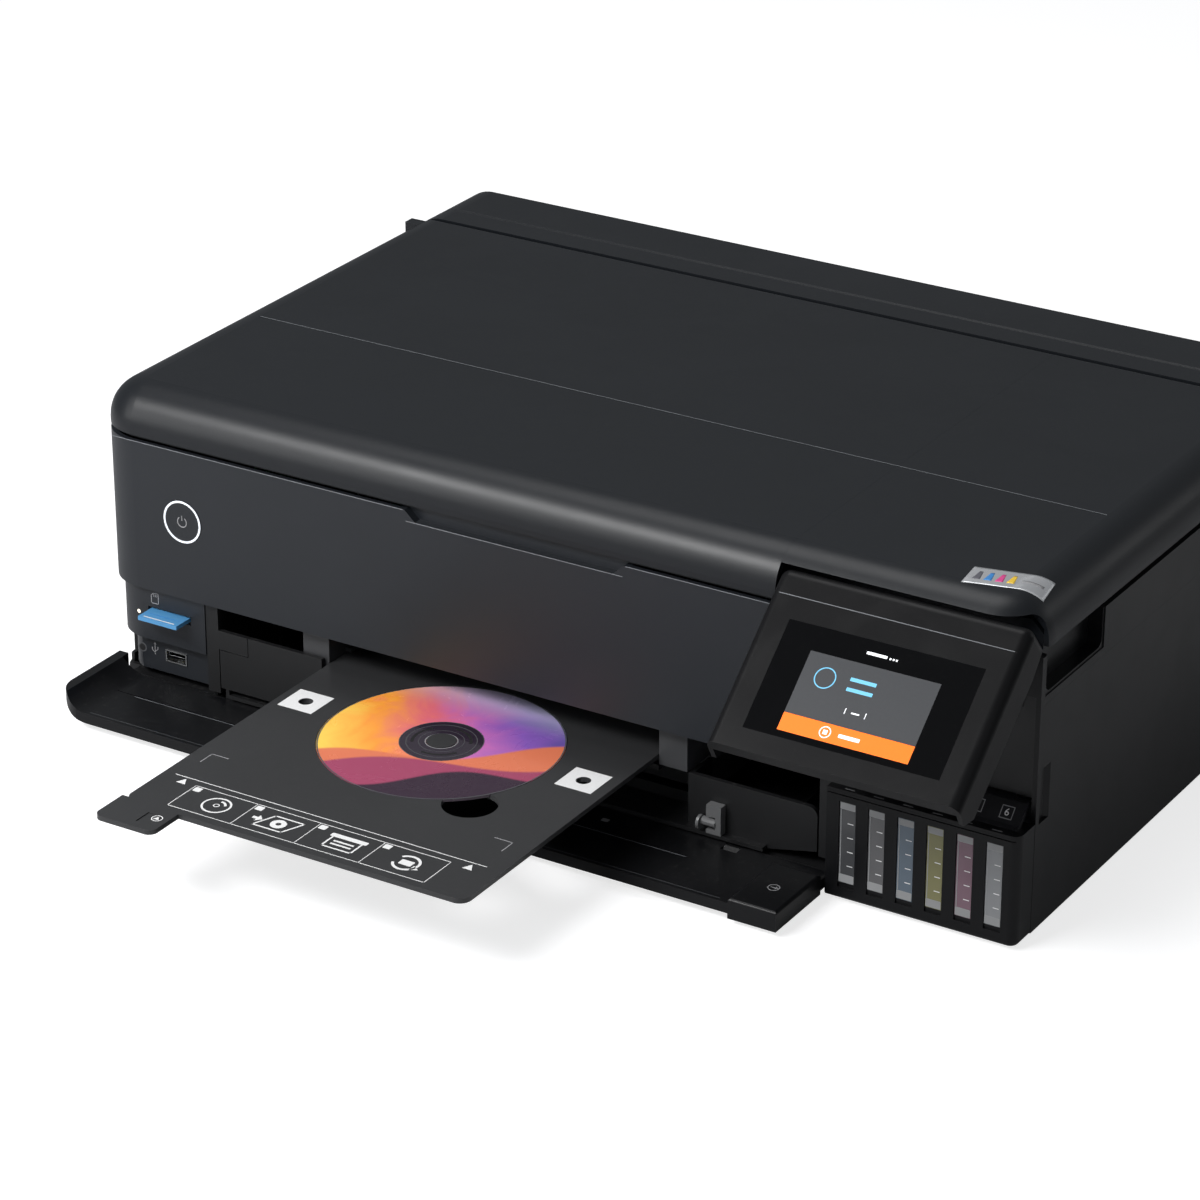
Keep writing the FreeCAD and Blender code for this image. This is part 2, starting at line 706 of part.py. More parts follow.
def scanner_tub():
    """The scanner's flat tub before it is divided, with its upper edges bevelled."""
    tub = casing(base_inset, seam_height + lift_gap, base_top, False)
    edges = [e for e in tub.Edges if e.CenterOfMass.z > base_top - 0.01
             and e.CenterOfMass.y < body_depth - base_inset - 0.01]
    return tub.makeChamfer(6.0, edges)


def scanner_front_rail():
    """The tub's front rail with the lift edge, beside the control panel's space."""
    return scanner_tub().common(block(-half_width, notch_left - 0.5, 0, notch_depth + 0.5, 0, body_height))


def scanner_base():
    """The scanner's tub with its glass opening, guide rod, rear deck and hinge arms."""
    bottom = seam_height + lift_gap
    half_length = glass_length / 2
    half_depth = glass_depth / 2
    tub = scanner_tub().common(block(-half_width, half_width, notch_depth + 0.5, deck_back - 4, 0, body_height))
    deck = casing(0.0, seam_height + skirt_reveal, body_height, True)
    deck = deck.common(block(-half_width - 1, half_width + 1, deck_front, deck_back, 0, body_height + 1))
    cavity = block(glass_centre_x - half_length - 20, glass_centre_x + half_length + 20,
                   glass_front + 3, glass_back - 3, bottom + base_floor, base_top - 2)
    window = block(glass_centre_x - half_length + glass_overlap, glass_centre_x + half_length - glass_overlap,
                   glass_centre_y - half_depth + glass_overlap, glass_centre_y + half_depth - glass_overlap,
                   base_top - 3, base_top + 1)
    shape = joined([tub, deck]).cut(cavity).cut(window)
    line = [deck_rear_point(0.0, -12.0), deck_rear_point(0.0, 40.0)]
    behind = [(scanner_pivot_y + 40, line[1][1]), (scanner_pivot_y + 40, line[0][1])]
    shape = shape.cut(side_profile(line + behind, -half_width - 5, half_width + 5))
    rod = rod_x(scan_rod_radius, glass_centre_x - half_length - 21, glass_centre_x + half_length + 21,
                glass_centre_y, scan_rod_z)
    pieces = [shape, rod]
    for side in (-1, 1):
        x = side * scanner_arm_x
        arm = block(x - scanner_arm_width / 2, x + scanner_arm_width / 2, deck_front - 6, scanner_pivot_y,
                    scanner_pivot_z - 2.9, scanner_pivot_z + 2.6)
        eye = bore_x(4.5, x - scanner_arm_width / 2, x + scanner_arm_width / 2, scanner_pivot_y, scanner_pivot_z)
        ear = side_block(side, lid_ear_near, lid_ear_far, lid_pivot_y - 4.5, lid_pivot_y,
                         base_top - 2, lid_pivot_z)
        head = side_bore(side, lid_ear_radius - 0.1, lid_ear_near, lid_ear_far, lid_pivot_y, lid_pivot_z)
        stud = side_rod(side, lid_stud_radius, lid_ear_near, lid_stud_reach, lid_pivot_y, lid_pivot_z)
        pieces += [arm, eye, ear, head, stud]
    shape = joined(pieces)
    for side in (-1, 1):
        x = side * scanner_arm_x
        shape = shape.cut(bore_x(scanner_pivot_pin_radius + running_clearance, x - 6, x + 6,
                                scanner_pivot_y, scanner_pivot_z))
    return shape


def deck_rear_point(gap, down):
    """A (y, z) point of the deck's slanted rear face, moved towards the hinge by a gap."""
    reach_y = deck_back - scanner_pivot_y
    reach_z = body_height - scanner_pivot_z
    reach = math.hypot(reach_y, reach_z)
    near = reach - deck_relief
    turn = math.atan2(reach_z, reach_y) + math.acos(near / reach)
    y = scanner_pivot_y + (near - gap) * math.cos(turn) - down * math.sin(turn)
    z = scanner_pivot_z + (near - gap) * math.sin(turn) + down * math.cos(turn)
    return y, z


def rear_corner_post(side):
    """The fixed corner strip between the scanner deck and the rear feeder cover."""
    front = deck_front + panel_seam
    back = feeder_front - 1.6
    gap = 0.5
    middle = deck_rear_point(gap, 0.0)
    low = deck_rear_point(gap, 10.0)
    slope = (middle[1] - low[1]) / (middle[0] - low[0])
    front_z = middle[1] + (front - middle[0]) * slope
    top_y = back - 1.1
    top_z = middle[1] + (top_y - middle[0])
    outline = [(front, seam_height), (front, front_z), middle, (top_y, top_z), (back, top_z), (back, seam_height)]
    shell = casing(0.0, seam_height - 4, body_height, True).cut(hollow_form(seam_height - 5, body_height - wall))
    far = side * (half_width + 1)
    near = side * (half_width - 2 * top_roll_radius / 3)
    return shell.common(side_profile(outline, min(near, far), max(near, far)))


def side_rod(side, radius, near, far, y, z):
    """A round bar along X between two distances from the middle plane, on one side."""
    return rod_x(radius, min(side * near, side * far), max(side * near, side * far), y, z)


def side_bore(side, radius, near, far, y, z):
    """A bore along X between two distances from the middle plane, on one side."""
    return bore_x(radius, min(side * near, side * far), max(side * near, side * far), y, z)


def scanner_glass():
    """The glass plate the page lies on."""
    return block(glass_centre_x - glass_length / 2, glass_centre_x + glass_length / 2,
                 glass_centre_y - glass_depth / 2, glass_centre_y + glass_depth / 2,
                 base_top, base_top + glass_thickness)


def scan_bar_x():
    """Left face of the scan bar at rest."""
    return glass_centre_x - glass_length / 2 + glass_overlap + 2


def scan_carriage():
    """The scan bar under the glass, riding on the guide rod."""
    x0 = scan_bar_x()
    z0 = scan_rod_z - 3.4
    z1 = z0 + scan_bar_height + 1.6
    bar = block(x0, x0 + scan_bar_width, glass_centre_y - scan_bar_length / 2,
                glass_centre_y + scan_bar_length / 2, z0, z1)
    lens = block(x0 + 7, x0 + 11, glass_centre_y - scan_bar_length / 2 + 4,
                 glass_centre_y + scan_bar_length / 2 - 4, z1 - 1.2, z1 + 1)
    bore = bore_x(scan_rod_radius + running_clearance, x0 - 1, x0 + scan_bar_width + 1,
                 glass_centre_y, scan_rod_z)
    return bar.cut(lens).cut(bore)


def lid_solid(low):
    """The scanner lid's outer form."""
    shape = casing(0.0, low, body_height, True)
    back = lid_pivot_y + lid_edge_radius
    shape = shape.common(block(-half_width - 1, half_width + 1, -1, back, 0, 200))
    steps = 4
    bend = []
    for step in range(steps + 1):
        turn = math.pi / 2 * step / steps
        bend.append((lid_pivot_y + lid_edge_radius * math.sin(turn), lid_pivot_z + lid_edge_radius * math.cos(turn)))
    outside = bend + [(back + 1, lid_pivot_z), (back + 1, body_height + 1), (lid_pivot_y, body_height + 1)]
    return shape.cut(side_profile(outside, -half_width - 1, half_width + 1))


def document_cover():
    """The large lid: a rolled main moulding and the end section over the panel, with crease, ribs and bosses."""
    low = seam_height + skirt_reveal
    back = lid_pivot_y + lid_edge_radius
    inner = hollow_form(low - 1, body_height - wall)
    inner = inner.common(block(-half_width, half_width, 0, back - wall, 0, body_height))
    shape = lid_solid(low).cut(inner)
    rear_clear = block(-half_width - 1, half_width + 1, back - 14, back + 1, low - 1, base_top + 1.5)
    crease_y = lid_pivot_y - 166.5
    crease_end = half_width - top_roll_radius
    crease = block(-crease_end, crease_end, crease_y - 0.35, crease_y + 0.35, body_height - 0.35, body_height + 1)
    ribs = []
    for step in range(3):
        x = -200.0 + 200.0 * step
        ribs.append(block(x - 1, x + 1, 12, 36, body_height - wall - 3, body_height - wall + 0.5))
    for side in (-1, 1):
        boss_near = lid_ear_far + 1.5
        x0 = min(side * boss_near, side * (half_width - wall + 0.5))
        x1 = max(side * boss_near, side * (half_width - wall + 0.5))
        ribs.append(block(x0, x1, lid_pivot_y - 4.6, back - wall + 0.5, lid_pivot_z - 5.2, body_height - wall + 0.5))
    shape = joined([shape] + ribs)
    shape = shape.cut(notch(0.0)).cut(crease)
    below_back = rear_clear.common(block(-half_width + wall, half_width - wall, 0, 400, 0, 200))
    shape = shape.cut(below_back)
    for side in (-1, 1):
        bore = side_bore(side, lid_stud_radius + running_clearance, lid_ear_far - 1, lid_stud_reach + 0.4,
                        lid_pivot_y, lid_pivot_z)
        relief = side_bore(side, lid_ear_radius + 0.35, lid_ear_near - 0.5, lid_ear_far + 0.5,
                          lid_pivot_y, lid_pivot_z)
        slot = side_block(side, lid_ear_near - 0.5, lid_ear_far + 0.5, lid_pivot_y - 5, back + 1,
                          low - 1, lid_pivot_z)
        shape = shape.cut(bore).cut(relief).cut(slot)
    main = shape.common(block(-half_width - 1, notch_left - weld_gap, -1, back + 1, 0, body_height + 1))
    end = shape.common(block(notch_left, half_width + 1, -1, back + 1, 0, body_height + 1))
    return Part.makeCompound([main, end])


def cover_pad():
    """The white pad that presses the page on the glass."""
    top = body_height - wall
    return block(glass_centre_x - glass_length / 2 + 4, glass_centre_x + glass_length / 2 - 4,
                 glass_front + 4, glass_back - 4, top - pad_thickness, top)


def rear_feeder_cover():
    """The narrow lid over the rear paper feed, with side skirts trimmed for its own swing."""
    outer = casing(0.0, seam_height + skirt_reveal, body_height, True)
    inner = hollow_form(seam_height, body_height - wall)
    bevel = 1.6
    low = seam_height + skirt_reveal - 1
    region = side_profile(
        [(feeder_front + 1.6, low), (feeder_front, feeder_pivot_z), (feeder_front, body_height - bevel),
         (feeder_front + bevel, body_height), (feeder_front + bevel, body_height + 1), (body_depth + 1, body_height + 1),
         (body_depth + 1, low)], -half_width - 1, half_width + 1)
    shape = outer.cut(inner).common(region)
    rear_foot = block(-half_width - 1, half_width + 1, body_depth - 9, body_depth + 1, 0, feeder_pivot_z - 1.5)
    shape = shape.cut(rear_foot)
    lip = block(-half_width + 16, half_width - 16, feeder_front, feeder_front + wall, body_height - 5.5,
                body_height - 2.0)
    pieces = [shape, lip]
    for side in (-1, 1):
        pieces.append(side_rod(side, feeder_stud_radius, feeder_ear_near - 0.4, half_width - wall - 2.0,
                               feeder_pivot_y, feeder_pivot_z))
    shape = joined(pieces)
    for side in (-1, 1):
        slot = side_block(side, feeder_ear_near - 0.6, feeder_ear_far + 0.6, body_depth - wall - 2.5,
                          body_depth + 1, 0, feeder_pivot_z + feeder_ear_radius + 0.4)
        keep = side_rod(side, feeder_stud_radius, feeder_ear_near - 0.4, feeder_ear_far + 0.6,
                        feeder_pivot_y, feeder_pivot_z)
        shape = shape.cut(slot.cut(keep))
    return shape


# ---------------------------------------------------------------- control panel and bay
def panel_pivot():
    """The hinge line of the control panel as (y, z)."""
    return panel_closed_front + panel_pivot_back, panel_closed_top - panel_pivot_down


def tilt(shape):
    """Swing a piece of the closed control panel out to its tilted rest position."""
    y, z = panel_pivot()
    turned = shape.copy()
    turned.rotate(Vector(0, y, z), Vector(1, 0, 0), -panel_tilt)
    return turned


def panel_arm_places():
    """Middle X of the two hinge arms."""
    return panel_left + panel_arm_inset, half_width - panel_arm_inset


def control_panel_housing():
    """The tilting panel's housing: a deep rim, a screen seat, a display box and the hinge head."""
    front = panel_closed_front
    top = panel_closed_top
    bottom = top - panel_length
    outline = [(front, top), (front, bottom + 2.6), (front + 12.5, bottom), (front + 19.3, bottom + 6.5),
               (front + panel_thickness, top - 17.4), (front + 17.3, top - 1.3), (front + 11.0, top)]
    body = side_profile(outline, panel_left, half_width)
    body = soften(body, 5.0, lambda c, e: abs(c.y - front) < 0.01 and c.z > top - 0.01)
    corners = 5.0
    body = soften(body, corners,
                  lambda c, e: along(e, Vector(0, 1, 0)) and abs(c.z - top) < 0.01 and c.y < front + 11)
    hollow = block(panel_left + panel_wall, half_width - panel_wall, front + 6.0, front + panel_thickness + 1,
                   bottom - 1, top - panel_head_length - 3)
    face_hollow = block(panel_left + panel_wall, half_width - panel_wall, front + 3.0, front + 7.0,
                        bottom + 5.0, top - panel_head_length - 3)
    seat = block(screen_left - 0.1, screen_right + 0.1, front - 1, front + screen_thickness,
                 top - screen_top - screen_length - 0.1, top - screen_top + 0.1)
    seam = block(panel_left - 1, half_width + 1, front - 1, front + 0.3,
                 top - panel_head_length - 0.2, top - panel_head_length + 0.2)
    shape = body.cut(hollow).cut(face_hollow).cut(seat).cut(seam)
    box = block(screen_left + 4, screen_right - 4, front + 2.5, front + 9.0,
                top - screen_top - screen_length + 3, top - screen_top - 3)
    shape = joined([shape, box])
    y, z = panel_pivot()
    for x in panel_arm_places():
        half = panel_arm_width / 2 + 0.5
        slot = bore_x(6.2, x - half, x + half, y, z)
        slot = slot.fuse(block(x - half, x + half, y - 3.0, y + 20, z - 9.5, z + 6.2))
        slot = slot.fuse(block(x - half, x + half, y - 1.0, y + 20, z, top + 5))
        shape = shape.cut(slot)
    shape = shape.cut(bore_x(panel_shaft_radius + running_clearance, panel_left + 5, half_width - 5, y, z))
    return tilt(shape)


def screen_glass():
    """The glossy touch screen in its seat."""
    front = panel_closed_front
    top = panel_closed_top - screen_top
    glass = block(screen_left, screen_right, front, front + screen_thickness, top - screen_length, top)
    return tilt(glass)


def panel_bay():
    """The wall behind the control panel with its hinge arms and the surround of the tanks."""
    right = half_width - wall
    grip_inside = half_width - side_grip_depth - side_grip_wall
    left = front_panel_right + 0.2
    rail_low = tank_cover_bottom - 14.0
    rail_high = tank_cover_bottom - 0.3
    back_wall = block(left, right, bay_wall_front, bay_wall_front + wall, bay_floor,
                      side_grip_bottom - wall - 0.4)
    upper_wall = block(left, grip_inside - 0.3, bay_wall_front, bay_wall_front + wall, bay_floor,
                       seam_height - 0.4)
    left_rail = block(front_panel_right + 28.0, front_panel_right + 30.0, bay_wall_front + 1,
                      tank_cover_back + 6, rail_low, rail_high)
    right_rail = block(right - 2.0, right, bay_wall_front + 1, tank_cover_back + 6, rail_low, rail_high)
    cross = block(front_panel_right + 28.0, right, tank_cover_back + 4, tank_cover_back + 6,
                  rail_low, rail_high)
    pieces = [back_wall, upper_wall, left_rail, right_rail, cross]
    for x in tank_cover_eyes():
        pieces.append(block(x - 2.4, x + 2.4, tank_cover_back - 2, tank_cover_back + 5,
                            tank_cover_bottom - 4, tank_cover_bottom + 3.0))
    y, z = panel_pivot()
    for x in panel_arm_places():
        half = panel_arm_width / 2
        arm = side_profile([(bay_wall_front + 1, z - 35.2), (bay_wall_front + 1, seam_height - 1), (y + 2, z + 4.2),
                            (y - 3.5, z + 2.5), (y - 3.5, z - 3.0)], x - half, x + half)
        eye = bore_x(5.1, x - half, x + half, y, z)
        pieces += [arm, eye]
    shape = joined(pieces)
    for x in panel_arm_places():
        shape = shape.cut(bore_x(panel_shaft_radius, x - 6, x + 6, y, z))
    for x in tank_cover_eyes():
        shape = shape.cut(bore_x(1.5 + running_clearance, x - 4, x + 4, tank_cover_back + 1.0,
                                tank_cover_bottom + 0.6))
    return shape


def hinge_pins():
    """Steel pins of the control panel, the scanner unit and the front cover."""
    y, z = panel_pivot()
    pins = [rod_x(panel_shaft_radius, panel_left + 6, half_width - 6, y, z)]
    for side in (-1, 1):
        x = side * scanner_arm_x
        pins.append(rod_x(scanner_pivot_pin_radius, x - 8.4, x + 8.4, scanner_pivot_y, scanner_pivot_z))
    for x in (cover_hinge_left, cover_hinge_right):
        pins.append(rod_x(cover_pin_radius, x - 9, x + 9, cover_pivot_y, cover_pivot_z))
    return Part.makeCompound(pins)


# ---------------------------------------------------------------- ink tanks
def tank_x(index):
    """Middle of a tank."""
    return tank_first_x + tank_pitch * index


def tank_housing():
    """The corner housing in front of the tanks, with a window slot for each."""
    outer = block(housing_left, half_width, housing_face, housing_back, housing_bottom, housing_top)
    outer = soften(outer, housing_corner_radius,
                   lambda c, e: upright(e) and c.y < housing_face + 0.01 and c.x > housing_left + 1)
    outer = soften(outer, 2.2, lambda c, e: c.z < housing_bottom + 0.01 and
                   (c.y < housing_face + 3 or c.x > half_width - 3))
    hollow = block(housing_left + wall, half_width - wall, housing_face + wall, housing_back + 1,
                   housing_bottom + wall, housing_top - wall)
    ledge = block(housing_left - 1, half_width + 1, housing_face - 1, housing_face + 1.0,
                  housing_top - 3.0, housing_top - 2.4)
    shape = outer.cut(hollow).cut(ledge)
    for index in range(tank_count):
        x = tank_x(index)
        slot = block(x - window_width / 2 - 0.3, x + window_width / 2 + 0.3, housing_face - 1,
                     housing_face + wall + 1, window_bottom - 0.3, window_top + 0.3)
        shelf = block(x - window_width / 2 - 0.3, x + window_width / 2 + 0.3, housing_face - 1,
                      housing_face + 1.0, window_bottom - 2.6, window_bottom)
        shape = shape.cut(slot).cut(shelf)
    return shape


def ink_tank(index):
    """One ink tank: an upright reservoir with a window rib, a filler neck and a low front foot."""
    x = tank_x(index)
    half = tank_width / 2
    front = housing_face + wall + 0.4
    body = side_profile(
        [(front, tank_bottom), (tank_back, tank_bottom), (tank_back, tank_top),
         (tank_shoulder_depth, tank_top), (tank_shoulder_depth, tank_shoulder), (front, tank_shoulder)],
        x - half, x + half)
    window = block(x - window_width / 2, x + window_width / 2, housing_face + 0.5, front + 0.5,
                   window_bottom, window_top)
    neck = plan_profile(corners_about(12, filler_radius, x, filler_y), tank_top - 0.5, tank_top + filler_height)
    return joined([body, window, neck])


def filler_caps():
    """The six rubber caps, each seated on the rim of its filler neck."""
    caps = []
    rim = tank_top + filler_height
    for index in range(tank_count):
        x = tank_x(index)
        cap = plan_profile(corners_about(12, cap_radius, x, filler_y), rim, tank_top + cap_height)
        tab = block(x - 2.5, x + 2.5, filler_y - cap_radius - 4, filler_y, tank_top + cap_height - 2.5,
                    tank_top + cap_height)
        caps.append(joined([cap, tab]))
    return Part.makeCompound(caps)


def tank_cover_ends():
    """Left and right end of the cover over the filler caps."""
    return front_panel_right + 28.0, half_width - side_grip_depth - side_grip_wall - 0.4


def tank_cover_eyes():
    """Middle X of the two small hinges of the cover over the filler caps."""
    left, right = tank_cover_ends()
    return left + 5.0, right - 5.0


def ink_tank_cover():
    """The hinged cover over the filler caps."""
    left, right = tank_cover_ends()
    plate = block(left, right, tank_cover_front, tank_cover_back + 1.0,
                  tank_cover_bottom, tank_cover_bottom + tank_cover_thickness)
    lip = block(left + 3.0, right - 1.0, tank_cover_front, tank_cover_front + 2.0,
                tank_cover_bottom - 5, tank_cover_bottom + 0.5)
    shape = joined([plate, lip])
    pin_y = tank_cover_back + 1.0
    pin_z = tank_cover_bottom + 0.6
    for x in tank_cover_eyes():
        shape = shape.cut(block(x - 3.0, x + 3.0, tank_cover_back - 8, tank_cover_back + 3,
                                tank_cover_bottom - 2, tank_cover_bottom + 4))
        shape = joined([shape, rod_x(1.5, x - 3.5, x + 3.5, pin_y, pin_z)])
    return shape


def label_deck():
    """The sloping colour plate behind the ledge."""
    left = housing_left + 3
    right = half_width - 4.0
    return side_profile(
        [(2.4, housing_top), (4.6, housing_top + 1.4), (12.4, bay_floor - 1.0), (bay_wall_front + wall, bay_floor - 1.0),
         (bay_wall_front + wall, bay_floor - 3.0), (13.2, bay_floor - 3.0), (6.8, housing_top)],
        left, right)


# ---------------------------------------------------------------- front cover
def front_cover():
    """The folded-down front cover: a plate with an upturned wrap, a groove and a deeper end block."""
    top = cover_bottom + cover_thickness
    bend_x = front_corner_radius - half_width
    block_right = frame_right
    plate = block(bend_x, cover_right, cover_front, cover_back, cover_bottom, top)
    centre = Vector(bend_x, cover_front, cover_bottom + front_corner_radius)
    length = cover_wrap_back - cover_front
    ring = Part.makeCylinder(front_corner_radius, length, centre, Vector(0, 1, 0))
    ring = ring.cut(Part.makeCylinder(front_corner_radius - cover_thickness, length, centre, Vector(0, 1, 0)))
    wrap_top = cover_bottom + cover_wrap_height
    wrap = ring.common(block(cover_left, bend_x, cover_front, cover_back, cover_bottom, wrap_top))
    side = ring.common(block(cover_left, cover_left + cover_thickness, cover_back - 1, cover_wrap_back,
                             cover_bottom + 6.0, wrap_top))
    end = block(cover_right - 0.2, block_right, cover_block_front, cover_block_back,
                cover_block_bottom, cover_block_top)
    end = soften(end, 1.6, lambda c, e: c.z > cover_block_top - 0.01)
    link = block(cover_right - 1, block_right, cover_block_back - 1, cover_back, cover_bottom, top)
    shape = joined([plate, wrap, side, end, link])
    corner = block(cover_left - 2, cover_left + 14, cover_front - 1, cover_front + 14, 0, 30)
    round_corner = rod_z(16.0, 0, 30, cover_left + 16.0, cover_front + 16.0)
    shape = shape.cut(corner.cut(round_corner))
    groove = block(bend_x - 3, cover_right - 39, -17.4, -16.6, top - 0.5, top + 1)
    shape = shape.cut(groove)
    for x in (cover_hinge_left, cover_hinge_right):
        shape = shape.cut(block(x - 4 - hinge_gap, x + 4 + hinge_gap, cover_pivot_y - 4.5, cover_back + 1,
                                cover_bottom - 1, top + 1))
        shape = shape.cut(bore_x(cover_pin_radius + running_clearance, x - 9.5, x + 9.5,
                                cover_pivot_y, cover_pivot_z))
    return shape


# ---------------------------------------------------------------- cassettes and output tray
def paper_cassette():
    """The main paper cassette: shallow tray, stepped front walls and the central finger recess."""
    floor = block(cassette_left, cassette_right, cassette_left_face, cassette_back,
                  cassette_bottom, cassette_bottom + cassette_wall)
    left_wall = block(cassette_left, cassette_left + cassette_wall, cassette_left_face, cassette_back,
                      cassette_bottom, cassette_rim)
    right_wall = block(cassette_right - cassette_wall, cassette_right, cassette_right_face, cassette_back,
                       cassette_bottom, cassette_rim)
    back_wall = block(cassette_left, cassette_right, cassette_back - cassette_wall, cassette_back,
                      cassette_bottom, cassette_rim)
    face_left = strip_right + 0.6
    left_front = block(face_left, recess_left, cassette_left_face, cassette_left_face + wall,
                       cassette_bottom + 5.0, cassette_left_top)
    right_front = front_profile(
        [(recess_right, cassette_bottom), (cassette_right, cassette_bottom),
         (cassette_front_right, cover_block_top + 3.6), (cassette_front_right, cassette_right_top),
         (recess_right, cassette_right_top)], cassette_right_face, cassette_right_face + wall)
    left_cheek = block(recess_left - cassette_wall, recess_left, cassette_left_face, recess_back,
                       cassette_bottom, cassette_left_top - 10)
    right_cheek = block(recess_right, recess_right + cassette_wall, cassette_right_face, recess_back,
                        cassette_bottom, cassette_right_top)
    recess_wall = block(recess_left - cassette_wall, recess_right + cassette_wall, recess_back - cassette_wall,
                        recess_back, cassette_bottom, cassette_rim)
    shape = joined([floor, left_wall, right_wall, back_wall, left_front, right_front, left_cheek, right_cheek,
                    recess_wall])
    corner_cut = block(face_left - 1, tab_right + 0.4, cassette_left_face - 1, cassette_left_face + wall + 1,
                       tab_bottom - 0.4, cassette_left_top + 1)
    shape = shape.cut(corner_cut)
    shape = soften(shape, 5.0, lambda c, e: along(e, Vector(0, 1, 0)) and c.x > cassette_front_right - 0.01
                   and c.z > cassette_right_top - 0.01)
    thumb = rod_z(14.0, cassette_bottom - 1, cassette_bottom + 3, (recess_left + recess_right) / 2,
                  cassette_left_face - 4)
    return shape.cut(thumb)


def cassette_latch():
    """The small latch and roller block on the cassette's right front wall."""
    x0 = recess_right + 12.5
    x1 = x0 + 8.0
    face = cassette_right_face
    low = cassette_bottom + cassette_wall
    housing = block(x0, x1, face - 4.6, face, low, low + 15.0)
    pocket = block(x0 - 1, x1 - 3, face - 5.0, face - 1.4, low + 2.0, low + 9.0)
    housing = housing.cut(pocket)
    roller = side_profile(corners_about(12, 2.3, face - 3.0, low + 5.4), x0 - 3.0, x1 - 3.0)
    wheel = side_profile(corners_about(16, 3.6, face - 3.8, low + 4.6), x0 - 4.4, x0 - 2.9)
    return joined([housing, roller, wheel])


def photo_cassette():
    """The small cassette for photo paper, behind the finger recess."""
    front = recess_back + 1.0
    outer = block(photo_left, photo_right, front, photo_back, photo_bottom, photo_top)
    hollow = block(photo_left + 2, photo_right - 2, front + 2, photo_back - 2, photo_bottom + 1.8, photo_top + 1)
    pull = block(-50, 6, front - 1, front + 3, photo_top - 4.5, photo_top + 1)
    pull = soften(pull, 2.5, lambda c, e: along(e, Vector(0, 1, 0)) and c.z < photo_top - 4)
    return outer.cut(hollow).cut(pull)


def output_tray():
    """The output tray, pushed in under the disc path."""
    top = output_bottom + output_thickness
    plate = block(tray_left, tray_right, cassette_left_face + 4, output_back, output_bottom, top)
    grooves = []
    for step in range(7):
        x = tray_left + 24.0 + 24.0 * step
        grooves.append(block(x - 1, x + 1, 20.0, output_back - 8, top - 0.6, top + 1))
    lip = block(-60, 0, cassette_left_face + 3, cassette_left_face + 5.5, output_bottom - 3.0, top)
    shape = joined([plate, lip])
    for groove in grooves:
        shape = shape.cut(groove)
    return shape


# ---------------------------------------------------------------- disc tray and path
def disc_tray():
    """The tray that carries a disc through the machine."""
    z0 = tray_top - tray_thickness
    plate = block(tray_left, tray_right, tray_front, tray_back, z0, tray_top)
    plate = soften(plate, 6.0, lambda c, e: upright(e) and c.y < tray_front + 0.01)
    tab = block(tray_tab_left, tray_tab_right, -tray_tab_reach, tray_front + 2, z0, tray_top)
    tab = soften(tab, 4.5, lambda c, e: upright(e) and c.y < -tray_tab_reach + 0.01)
    shape = joined([plate, tab])
    seat = rod_z(disc_radius + disc_gap, tray_top - disc_recess, tray_top + 1, disc_x, disc_y)
    hub = plan_profile(corners_about(24, disc_hole_radius - 0.2, disc_x, disc_y), z0, tray_top + 0.4)
    finger = rod_z(13.5, z0 - 1, tray_top + 1, disc_x + 47.0, disc_y - 47.2)
    keep = rod_z(disc_radius + disc_gap - 6.0, z0 - 1, tray_top + 1, disc_x, disc_y)
    finger = finger.cut(keep)
    shape = shape.cut(seat).cut(finger)
    shape = joined([shape, hub])
    for offset in (-mark_reach, mark_reach):
        ring = corners_about(16, mark_hole_radius, disc_x + offset, disc_y + 0.8)
        shape = shape.cut(plan_profile(ring, z0 - 1, tray_top + 1))
    pocket = block(tray_tab_right - 13.0, tray_tab_right - 4.0, -tray_tab_reach + 5.0, -tray_tab_reach + 15,
                   tray_top - 0.5, tray_top + 1)
    return shape.cut(pocket)


def disc():
    """A printable disc."""
    top = tray_top - disc_recess + disc_thickness
    plate = rod_z(disc_radius, top - disc_thickness, top, disc_x, disc_y)
    hole = rod_z(disc_hole_radius, 0, 100, disc_x, disc_y)
    return plate.cut(hole)


